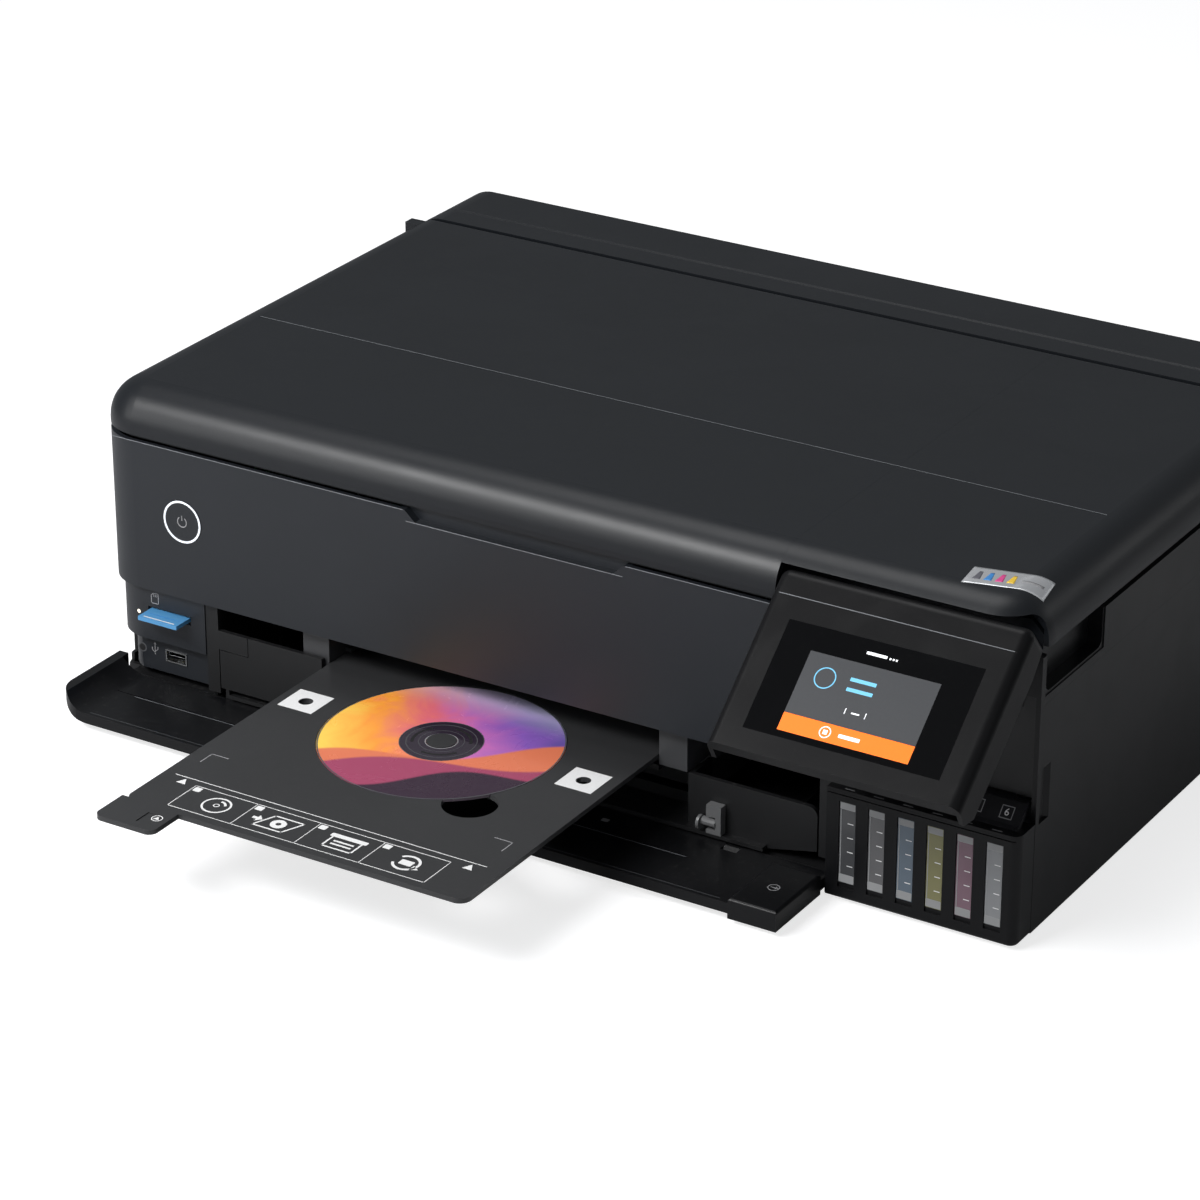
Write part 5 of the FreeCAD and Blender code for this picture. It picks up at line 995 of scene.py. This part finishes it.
# ------------------------------------------------------------------ details
@dataclass(frozen=True)
class Detail:
    """Printed, lit or small pieces on one part of the machine, in millimetres."""

    wardrobe: Wardrobe
    rows: RowWorks

    def relief(self, face: Face, top: float = PRINT, base: float = 0.0) -> Relief:
        """Start an empty relief in these finishes."""
        return Relief(self.wardrobe, face, top, base)

    def build(self) -> None:
        """Build the pieces."""
        raise NotImplementedError


@dataclass(frozen=True)
class PowerMark(Detail):
    """The lit ring and the symbol of the power button."""

    centre: Point2 = (-206.7, 105.5)
    face_y: float = -0.2
    outer: float = 11.35
    inner: float = 10.25
    symbol: float = 2.7
    stroke: float = 0.5

    def build(self) -> None:
        """Build the ring and symbol."""
        work = self.relief(Face((self.centre[0], self.face_y, self.centre[1])), 0.12)
        work.ring((0, 0), self.outer, self.inner, "ring_light", sides=64)
        work.ring((0, 0), self.symbol + self.stroke / 2, self.symbol - self.stroke / 2,
                  "print_grey", 125, 290, 28)
        work.line([(0, 1.0), (0, 3.2)], self.stroke, "print_grey")
        work.finish("power_mark", Carrier.BUTTON, "front_plastic")


@dataclass(frozen=True)
class CardReaderMarks(Detail):
    """Lamp, pictograms and the inner parts of the sockets on the card module."""

    face_y: float = 3.5
    deep_y: float = 9.0
    lamp: Point2 = (-239.7, 46.9)
    card_icon: Point2 = (-229.0, 56.6)
    socket: Point2 = (-221.0, 23.2)
    jack: Point2 = (-242.6, 23.8)

    def build(self) -> None:
        """Build every mark and the socket's tongue."""
        work = self.relief(Face((0, self.face_y, 0)))
        grey = "print_grey"
        u, v = self.card_icon
        work.line([(u - 2.2, v - 2.8), (u + 2.2, v - 2.8), (u + 2.2, v + 2.8), (u - 0.8, v + 2.8),
                   (u - 2.2, v + 1.4)], 0.4, grey, closed=True)
        for step in range(3):
            contact = u - 0.6 + step
            work.line([(contact, v + 1.0), (contact, v + 2.0)], 0.35, grey)
        work.finish("card_reader_marks", Carrier.BODY, "front_plastic")
        lamp = self.relief(Face((self.lamp[0], self.face_y + 0.8, self.lamp[1])), 0.5)
        lamp.ring((0, 0), 1.05, 0, "lamp_white", sides=16)
        lamp.finish("reader_lamp", Carrier.BODY, "front_plastic")
        deep = self.relief(Face((0, self.deep_y, 0)))
        u, v = -234.6, self.socket[1] + 1.6
        deep.line([(u, v - 3.0), (u, v + 2.6)], 0.4, grey)
        deep.line([(u, v - 1.6), (u + 1.8, v), (u + 1.8, v + 1.2)], 0.4, grey)
        deep.line([(u, v - 2.2), (u - 1.8, v - 0.8), (u - 1.8, v + 0.4)], 0.4, grey)
        deep.shape([(u - 0.8, v + 2.4), (u + 0.8, v + 2.4), (u, v + 3.8)], grey)
        deep.ring(self.jack, 2.6, 1.9, "print_dim", sides=24)
        deep.ring(self.jack, 1.9, 0, "print_black", sides=20)
        deep.finish("reader_symbols", Carrier.BODY, "front_plastic")
        tongue = self.relief(Face((self.socket[0], 9.6, self.socket[1])), 0.0, -7.5)
        tongue.slab(-4.9, 4.9, 0.1, 1.9, "white_plastic", 0.3)
        tongue.finish("socket_tongue", Carrier.BODY, "steel")
        self.rows.set_out("socket_contacts", wedge_form("contact", (0.55, 2.4), 0.14, 0.7), 4,
                          place(self.socket[0] - 3.6, 12.4, self.socket[1] - 0.06),
                          Vector((2.4 * MM, 0, 0)), self.wardrobe["contact_gold"], Carrier.BODY, "steel")


@dataclass(frozen=True)
class CardLabel(Detail):
    """The two printed lines on the memory card."""

    top_z: float = 50.3

    def build(self) -> None:
        """Build the lines on the card's upper face."""
        work = self.relief(level(self.top_z))
        work.slab(-229.6, -210.6, -5.9, -5.2, "print_white")
        work.slab(-229.6, -210.6, -1.6, -1.2, "drop_blue")
        work.finish("card_label", Carrier.CARD, "card_blue")


@dataclass(frozen=True)
class CoverMarks(Detail):
    """Printed lines and marks, and a painted highlight along the groove's edge, on the folded-down front
    cover.
    """

    plate_z: float = 10.5
    block_z: float = 13.4
    groove_y: float = -17.0
    arrow: Point2 = (148.8, -27.0)

    def build(self) -> None:
        """Build the marks on the plate and on the end block."""
        plate = self.relief(level(self.plate_z))
        # a painted highlight line along the groove's edge
        edge = self.groove_y - 1.0
        plate.line([(-228.0, edge), (96.0, edge)], 0.28, "painted_highlight_line")
        plate.line([(-236.0, -44.2), (130.0, -44.2)], 0.24, "print_dim")
        plate.slab(42.6, 46.6, -8.0, -5.0, "print_grey", 0.5)
        plate.finish("cover_marks", Carrier.FRONT_DOOR, "body_plastic")
        block = self.relief(level(self.block_z))
        grey = "print_grey"
        u, v = self.arrow
        block.ring((u, v), 3.0, 2.6, grey, sides=28)
        block.line([(u - 1.4, v), (u + 1.4, v)], 0.45, grey)
        block.shape([(u + 0.8, v - 1.2), (u + 0.8, v + 1.2), (u + 2.6, v)], grey)
        block.finish("block_marks", Carrier.FRONT_DOOR, "body_plastic")


@dataclass(frozen=True)
class TrayPrint(Detail):
    """Everything printed on the disc tray: registration squares, aiming marks and a pictogram strip."""

    top_z: float = 45.3
    squares: tuple[Point2, ...] = ((-109.8, -34.0), (49.4, -34.0))
    square: float = 10.0
    hole: float = 3.7
    line_y: float = -129.0
    strip: tuple[float, float, float, float] = (-102.5, 40.6, -156.0, -133.6)

    def build(self) -> None:
        """Build the print as one thin piece."""
        white, grey = "print_white", "print_grey"
        work = self.relief(level(self.top_z))
        for u, v in self.squares:
            self._square(work, u, v, white)
        work.line([(-117.6, self.line_y), (56.8, self.line_y)], 0.45, white)
        for u in (-110.4, 50.2):
            base = self.line_y - 6.4
            work.shape([(u - 2.6, base), (u + 2.6, base), (u, self.line_y - 1.6)], white)
        for u, turn in ((-115.4, 1), (54.4, -1)):
            work.line([(u, -112.6), (u, -103.4), (u + 9.6 * turn, -103.4)], 0.5, grey)
        self._strip(work, white)
        work.ring((-98.4, -169.5), 2.8, 2.3, white, sides=28)
        work.shape([(-100.0, -170.6), (-96.8, -170.6), (-98.4, -168.0)], white)
        work.finish("tray_print", Carrier.DISC_TRAY, "tray_plastic")

    def _square(self, work: Relief, u: float, v: float, white: str) -> None:
        """Add a white square around a round mark hole, as four corner pieces.

        Args:
            work: the print.
            u: the hole's middle along the tray's width.
            v: the hole's middle along its length.
            white: the ink's name.
        """
        side, hole = self.square, self.hole
        for quarter in range(4):
            turns = [math.radians(90 * quarter + 15 * step) for step in range(7)]
            arc = [(u + hole * math.cos(a), v + hole * math.sin(a)) for a in turns]
            first, last = turns[0], turns[-1]
            start = (u + side * round(math.cos(first)), v + side * round(math.sin(first)))
            end = (u + side * round(math.cos(last)), v + side * round(math.sin(last)))
            middle = (start[0] + end[0] - u, start[1] + end[1] - v)
            work.shape([start, middle, end, *reversed(arc)], white)

    def _strip(self, work: Relief, white: str) -> None:
        """Add the framed strip of plain pictograms, each with its small square.

        Args:
            work: the print.
            white: the ink's name.
        """
        u0, u1, v0, v1 = self.strip
        work.line([(u0, v0), (u1, v0), (u1, v1), (u0, v1)], 0.4, white, closed=True)
        drawings = (self._disc, self._place_disc, self._slide_in, self._start)
        cell = (u1 - u0) / len(drawings)
        for step, draw in enumerate(drawings):
            left = u0 + cell * step
            if step:
                work.line([(left, v0), (left, v1)], 0.4, white)
            work.slab(left + 1.0, left + 5.0, v1 - 4.8, v1 - 1.0, white, 0.5)
            draw(work, left + cell / 2, (v0 + v1) / 2, white)

    @staticmethod
    def _outline(u: float, v: float, offsets: Sequence[Point2]) -> list[Point2]:
        """Move corners to a middle."""
        return [(u + du, v + dv) for du, dv in offsets]

    def _disc(self, work: Relief, u: float, v: float, white: str) -> None:
        """Draw a disc around a middle at u and v."""
        work.ring((u + 2, v), 7.4, 6.4, white, sides=32)
        work.ring((u + 2, v), 1.6, 1.1, white, sides=18)
        work.ring((u + 2, v), 4.8, 3.6, white, 20, 70, 10)

    def _place_disc(self, work: Relief, u: float, v: float, white: str) -> None:
        """Draw a disc on a tray with an arrow, around a middle at u and v."""
        work.line(self._outline(u, v, ((-9, -6), (7, -6), (12, 6), (-4, 6))), 0.9, white, closed=True)
        work.ring((u + 1.5, v), 4.0, 1.4, white, sides=24)
        work.shape(self._outline(u, v, ((-13, -1), (-10.4, -1), (-10.4, -3), (-7.6, 0),
                                        (-10.4, 3), (-10.4, 1), (-13, 1))), white)

    def _slide_in(self, work: Relief, u: float, v: float, white: str) -> None:
        """Draw a tray below a slot, around a middle at u and v."""
        work.slab(u - 8, u + 12, v + 3.6, v + 6.6, white, 0.6)
        work.line(self._outline(u, v, ((-6, 3), (-6, -6), (10, -6), (10, 3))), 0.9, white)
        for height in (-2.4, 0.4):
            work.line(self._outline(u, v, ((-3, height), (7, height))), 1.2, white)

    def _start(self, work: Relief, u: float, v: float, white: str) -> None:
        """Draw a turning arrow around a key, around a middle at u and v."""
        work.ring((u + 1, v), 7.0, 5.6, white, 200, 300, 30)
        work.shape(self._outline(u, v, ((5.2, -5.0), (9.4, -3.2), (5.6, -0.6))), white)
        work.slab(u - 2.4, u + 4.4, v - 2.2, v + 2.2, white, 0.5)


@dataclass(frozen=True)
class DiscDetail(Detail):
    """The clear middle of the disc with its stacking rings, and the clear outer rim."""

    centre: Point2 = (-30.0, -34.8)
    top_z: float = 45.2

    def build(self) -> None:
        """Build the hub zone and rims."""
        face = level(self.top_z, *self.centre)
        hub = self.relief(face, 0.04)
        hub.ring((0, 0), 20.5, 7.55, "clear_hub", sides=64)
        hub.finish("disc_hub", Carrier.DISC_TRAY, "disc_print")
        rims = self.relief(face, 0.07, 0.03)
        for outer, inner, ink in ((20.6, 20.2, "print_dim"), (17.3, 16.9, "print_dim"),
                                  (11.2, 10.9, "print_dim"), (8.1, 7.6, "print_grey")):
            rims.ring((0, 0), outer, inner, ink, sides=64)
        for start in (20, 140, 260):
            rims.ring((0, 0), 15.0, 13.4, "print_black", start, 74, 18)
        rims.ring((0, 0), 59.9, 59.2, "print_dim", sides=96)
        rims.finish("disc_rims", Carrier.DISC_TRAY, "disc_print")


@dataclass(frozen=True)
class PanelDisplay(Detail):
    """The lit picture behind the control panel's glass, and a painted highlight along the head's seam."""

    pivot: Point2 = (7.1, 147.2)
    closed: Point2 = (-7.5, 154.5)
    tilt: float = 49.0
    left: float = 164.5
    right: float = 230.6
    count_v: float = -61.2

    def face(self) -> Face:
        """Find the tilted glass.

        Returns:
            A face whose v runs up from the head's top edge.
        """
        turn = math.radians(self.tilt)
        dy, dz = self.closed[0] - self.pivot[0], self.closed[1] - self.pivot[1]
        y = self.pivot[0] + dy * math.cos(turn) + dz * math.sin(turn)
        z = self.pivot[1] - dy * math.sin(turn) + dz * math.cos(turn)
        return Face((0.0, y, z), (1.0, 0.0, 0.0), (0.0, math.sin(turn), math.cos(turn)))

    def build(self) -> None:
        """Build the picture: a grey field, a progress ring, bars and an orange key; and a painted highlight
        line along the seam.
        """
        work = self.relief(self.face(), 0.03, 0.005)
        work.slab(self.left, self.right, -68.6, -37.2, "screen_grey")
        work.slab(self.left, self.right, -77.6, -68.7, "screen_orange")
        work.finish("display_fields", Carrier.PANEL, "screen")
        marks = self.relief(self.face(), 0.06, 0.025)
        white, blue = "screen_white", "screen_blue"
        marks.slab(190.6, 201.0, -32.2, -30.8, white, 0.3)
        for step in range(3):
            marks.slab(202.2 + 1.6 * step, 203.1 + 1.6 * step, -32.2, -31.3, white)
        marks.ring((176.5, -48.3), 5.3, 4.75, blue, sides=44)
        for low in (-46.6, -51.6):
            marks.slab(188.4, 201.5, low, low + 1.8, blue, 0.3)
        marks.digits("1", (192.2, self.count_v), 2.9, white)
        marks.slab(195.4, 199.4, self.count_v - 0.4, self.count_v + 0.3, white)
        marks.digits("1", (202.4, self.count_v), 2.9, white)
        marks.ring((187.2, -73.1), 2.9, 2.4, white, sides=28)
        marks.slab(186.1, 188.3, -74.2, -72.0, white)
        marks.slab(194.0, 204.6, -74.0, -72.2, white, 0.3)
        marks.finish("display_marks", Carrier.PANEL, "screen")
        # a painted highlight line along the seam of the panel's head
        seam_highlight = self.relief(self.face(), 0.04)
        seam_highlight.line([(138.0, -13.7), (257.0, -13.7)], 0.35, "painted_highlight_line")
        seam_highlight.finish("head_seam", Carrier.PANEL, "panel_gloss")


@dataclass(frozen=True)
class TankFront(Detail):
    """Level ticks, frosted ends, a painted highlight along each window's left edge, and numbered squares of
    the six ink tanks.
    """

    first_x: float = 173.5
    pitch: float = 15.18
    count: int = 6
    face_y: float = -2.5
    window: tuple[float, float, float] = (4.1, 11.3, 53.3)
    ledge_z: float = 59.7
    label_origin: tuple[float, float, float] = (0.0, 4.6, 61.1)
    label_up: tuple[float, float, float] = (0.0, 0.694, 0.720)

    def build(self) -> None:
        """Build the windows' details and the numbers above them."""
        half, low, high = self.window
        frosted_and_highlit = self.relief(Face((0, self.face_y, 0)))
        label = self.relief(Face(self.label_origin, (1, 0, 0), self.label_up), 0.06)
        ledge = self.relief(level(self.ledge_z))
        frost_and_highlight_finish, grey = "tank_frost_and_highlight", "print_grey"
        for step in range(self.count):
            x = self.first_x + self.pitch * step
            frosted_and_highlit.slab(x - half + 0.2, x + half - 0.2, high - 3.6, high - 0.2, frost_and_highlight_finish, 0.4)
            frosted_and_highlit.slab(x - half + 0.2, x + half - 0.2, low + 0.2, low + 4.4, frost_and_highlight_finish, 0.4)
            # a painted highlight: a thin light strip down the left edge of the clear window
            frosted_and_highlit.slab(x - half + 0.5, x - half + 0.9, low + 4.6, high - 3.8, frost_and_highlight_finish)
            label.line([(x - 3.0, 2.2), (x + 3.0, 2.2), (x + 3.0, 8.2), (x - 3.0, 8.2)], 0.4, grey,
                       closed=True)
            label.digits(str(step + 1), (x, 5.2), 3.6, "print_white")
            ledge.slab(x - 2.6, x + 2.6, -1.4, -0.7, grey)
        frosted_and_highlit.finish("tank_frosting", Carrier.BODY, "side_plastic")
        label.finish("tank_numbers", Carrier.BODY, "label_plate")
        ledge.finish("ledge_marks", Carrier.BODY, "side_plastic")
        tick = wedge_form("tick", (1.5, 0.04), 0.42, 1.0)
        self.rows.set_out("level_ticks", tick, 4, place(self.first_x + 1.6, self.face_y - 0.04, low + 9.0),
                          Vector((0, 0, 7.4 * MM)), self.wardrobe["print_white"], Carrier.BODY,
                          "side_plastic", self.count, Vector((self.pitch * MM, 0, 0)))


@dataclass(frozen=True)
class ColourPlate(Detail):
    """The small silver plate on the lid's rolled corner, with a row of plain coloured drops."""

    corners: tuple[Point2, ...] = ((217.4, 16.9), (254.2, 25.8), (252.0, 42.6), (215.2, 34.6))
    half_width: float = 261.5
    top: float = 169.0
    roll: float = 20.0
    corner_radius: float = 25.0
    thickness: float = 0.12

    def height(self, x: float, y: float) -> float:
        """Find the lid's rolled surface.

        Args:
            x: distance to the right of the middle.
            y: distance behind the face of the front panel.

        Returns:
            The height of the surface there.
        """
        edge = min(self.half_width - x, y)
        turn = self.half_width - self.corner_radius
        if x > turn and y < self.corner_radius:
            edge = self.corner_radius - math.hypot(x - turn, self.corner_radius - y)
        if edge >= self.roll:
            return self.top
        return self.top - self.roll + math.sqrt(max(0.0, self.roll ** 2 - (self.roll - edge) ** 2))

    def spot(self, u: float, v: float, lift: float) -> Vector:
        """Find a point of the plate.

        Args:
            u: 0 at its left end to 1 at its right end.
            v: 0 at its front edge to 1 at its back edge.
            lift: distance above the lid.

        Returns:
            The point in the row frame, in metres.
        """
        a, b, c, d = self.corners
        x = (a[0] * (1 - u) + b[0] * u) * (1 - v) + (d[0] * (1 - u) + c[0] * u) * v
        y = (a[1] * (1 - u) + b[1] * u) * (1 - v) + (d[1] * (1 - u) + c[1] * u) * v
        return place(x, y, min(self.height(x, y) + lift, self.top + 0.04 + lift * 0.05))

    def patch(self, u0: float, u1: float, v0: float, v1: float, lift: float, steps: tuple[int, int],
              taper: float = 0.0) -> bmesh.types.BMesh:
        """Make a closed thin patch that follows the lid.

        Args:
            u0: its left end.
            u1: its right end.
            v0: its front edge.
            v1: its back edge.
            lift: how high its upper face is.
            steps: pieces along and across.
            taper: how far its back end narrows, 1 for a point.

        Returns:
            The patch.
        """
        made = bmesh.new()
        across, along = steps
        grid = {}
        for side, rise in enumerate((lift, lift - self.thickness)):
            for i in range(across + 1):
                for j in range(along + 1):
                    v = v0 + (v1 - v0) * j / along
                    squeeze = 1.0 - taper * j / along
                    u = (u0 + u1) / 2 + (u1 - u0) * (i / across - 0.5) * squeeze
                    grid[side, i, j] = made.verts.new(self.spot(u, v, rise))

        def close(*corners: tuple[int, int, int]) -> None:
            """Close a face between four points of the grid."""
            made.faces.new([grid[corner] for corner in corners])

        for i in range(across):
            for j in range(along):
                close((0, i, j), (0, i + 1, j), (0, i + 1, j + 1), (0, i, j + 1))
                close((1, i, j + 1), (1, i + 1, j + 1), (1, i + 1, j), (1, i, j))
        for i in range(across):
            close((0, i, 0), (1, i, 0), (1, i + 1, 0), (0, i + 1, 0))
            close((0, i + 1, along), (1, i + 1, along), (1, i, along), (0, i, along))
        for j in range(along):
            close((0, 0, j + 1), (1, 0, j + 1), (1, 0, j), (0, 0, j))
            close((0, across, j), (1, across, j), (1, across, j + 1), (0, across, j + 1))
        return made

    def build(self) -> None:
        """Build the plate and its drops."""
        self._enter(self.patch(0, 1, 0, 1, 0.16, (24, 12)), "colour_plate", "silver_plate")
        drops = (("drop_slate", 0.13), ("drop_blue", 0.27), ("drop_rose", 0.41), ("drop_gold", 0.55))
        for ink, u in drops:
            drop = self.patch(u - 0.05, u + 0.05, 0.28, 0.76, 0.24, (4, 6), 0.55)
            self._enter(drop, "plate_" + ink, ink)
        self._enter(self.patch(0.66, 0.93, 0.44, 0.56, 0.24, (8, 2)), "plate_bar", "print_grey")

    def _enter(self, work: bmesh.types.BMesh, name: str, finish: str) -> None:
        """Turn a patch into a piece on the lid.

        Args:
            work: the patch.
            name: the piece's name.
            finish: its finish.
        """
        bmesh.ops.recalc_face_normals(work, faces=work.faces)
        mesh = bpy.data.meshes.new(name)
        work.to_mesh(mesh)
        work.free()
        mesh.materials.append(self.wardrobe[finish])
        mesh.shade_smooth()
        enter(name, mesh, Carrier.LID)


@dataclass(frozen=True)
class LidCrest(Detail):
    """A painted highlight along the crease that crosses the lid."""

    y: float = 118.0
    reach: float = 241.0
    top_z: float = 169.0

    def build(self) -> None:
        """Build the painted highlight line behind the crease."""
        work = self.relief(level(self.top_z), 0.03)
        work.line([(-self.reach, self.y), (self.reach, self.y)], 0.4, "painted_highlight_line")
        work.finish("lid_crest", Carrier.LID, "body_plastic")


@dataclass(frozen=True)
class FrontEdges(Detail):
    """Painted highlight lines along the top edge of the front panel and below its finger grip."""

    top_z: float = 143.1
    grip: tuple[float, float, float] = (-73.8, 51.7, 137.5)
    ends: Point2 = (-248.0, 131.5)

    def build(self) -> None:
        """Build the painted highlight lines on the panel's face."""
        work = self.relief(Face((0, 0, 0)), 0.04)
        left, right, low = self.grip
        for start, end, z in ((self.ends[0], left, self.top_z), (right, self.ends[1], self.top_z),
                              (left + 2, right - 2, low)):
            work.line([(start, z), (end, z)], 0.4, "painted_highlight_line")
        work.finish("front_edges", Carrier.BODY, "front_plastic")


@dataclass(frozen=True)
class BeltTeeth(Detail):
    """The teeth inside the carriage belt's two runs."""

    left: float = -211.0
    right: float = 227.0
    pitch: float = 2.5
    y: float = 191.0
    upper_z: float = 107.2
    lower_z: float = 92.8
    reach: float = 0.7

    def build(self) -> None:
        """Build both rows of teeth."""
        count = int((self.right - self.left) / self.pitch)
        for name, z, depth in (("belt_teeth_upper", self.upper_z, -self.reach),
                               ("belt_teeth_lower", self.lower_z, self.reach)):
            tooth = wedge_form(name, (0.65, 2.4), depth, 0.6)
            self.rows.set_out(name, tooth, count, place(self.left, self.y, z),
                              Vector((self.pitch * MM, 0, 0)), self.wardrobe["rubber_black"],
                              Carrier.BODY, "rubber_black")


@dataclass(frozen=True)
class GlassScale(Detail):
    """Paper scale ticks and numbers beside the scanner glass."""

    top_z: float = 160.0
    left: float = -161.0
    back: float = 266.0
    length: float = 300.0
    pitch: float = 10.0

    def build(self) -> None:
        """Build the ticks along the glass's back edge and the numbers."""
        tick = wedge_form("scale_tick", (0.2, 1.6), 0.05, 1.0)
        first = self.left + 4
        self.rows.set_out("scale_ticks", tick, int(self.length / self.pitch) + 1,
                          place(first, self.back - 2.2, self.top_z), Vector((self.pitch * MM, 0, 0)),
                          self.wardrobe["print_white"], Carrier.SCANNER, "flat_glass")
        work = self.relief(level(self.top_z))
        for step in range(5, 26, 5):
            work.digits(str(step), (first + step * self.pitch, self.back - 7.6), 3.2, "print_white")
        work.shape([(self.left + 1, self.back - 1), (self.left + 1, self.back - 8),
                    (self.left + 5.5, self.back - 4.5)], "print_white")
        work.finish("scale_numbers", Carrier.SCANNER, "flat_glass")


@dataclass(frozen=True)
class CarriageTiles(Detail):
    """The numbered colour tiles on the print carriage."""

    top_z: float = 116.0
    left: float = 163.0
    pitch: float = 14.0

    def build(self) -> None:
        """Build six tiles with numbers."""
        work = self.relief(level(self.top_z))
        numbers = self.relief(level(self.top_z), 0.09, 0.04)
        inks = ("drop_slate", "print_grey", "drop_blue", "drop_gold", "drop_rose", "print_white")
        for step, ink in enumerate(inks):
            x = self.left + self.pitch * step
            work.slab(x - 4.6, x + 4.6, 134.0, 143.0, ink, 1.0)
            number_ink = "print_black" if ink == "print_white" else "print_white"
            numbers.digits(str(step + 1), (x, 138.5), 4.4, number_ink)
        work.finish("carriage_tiles", Carrier.CARRIAGE, "frame_plastic")
        numbers.finish("carriage_numbers", Carrier.CARRIAGE, "frame_plastic")


def main() -> None:
    """Build the studio, dress the machine and add its details."""
    logging.basicConfig(level=logging.INFO)
    Studio().build()
    wardrobe = Wardrobe(EffectGroups())
    wardrobe.dress()
    rows = RowWorks()
    for detail in (PowerMark, CardLabel, CoverMarks, TrayPrint, DiscDetail, PanelDisplay, ColourPlate,
                   LidCrest, FrontEdges, CarriageTiles, CardReaderMarks, TankFront, BeltTeeth, GlassScale):
        detail(wardrobe, rows).build()
        log.info("finished %s", detail.__name__)


if __name__ == "__main__":
    main()
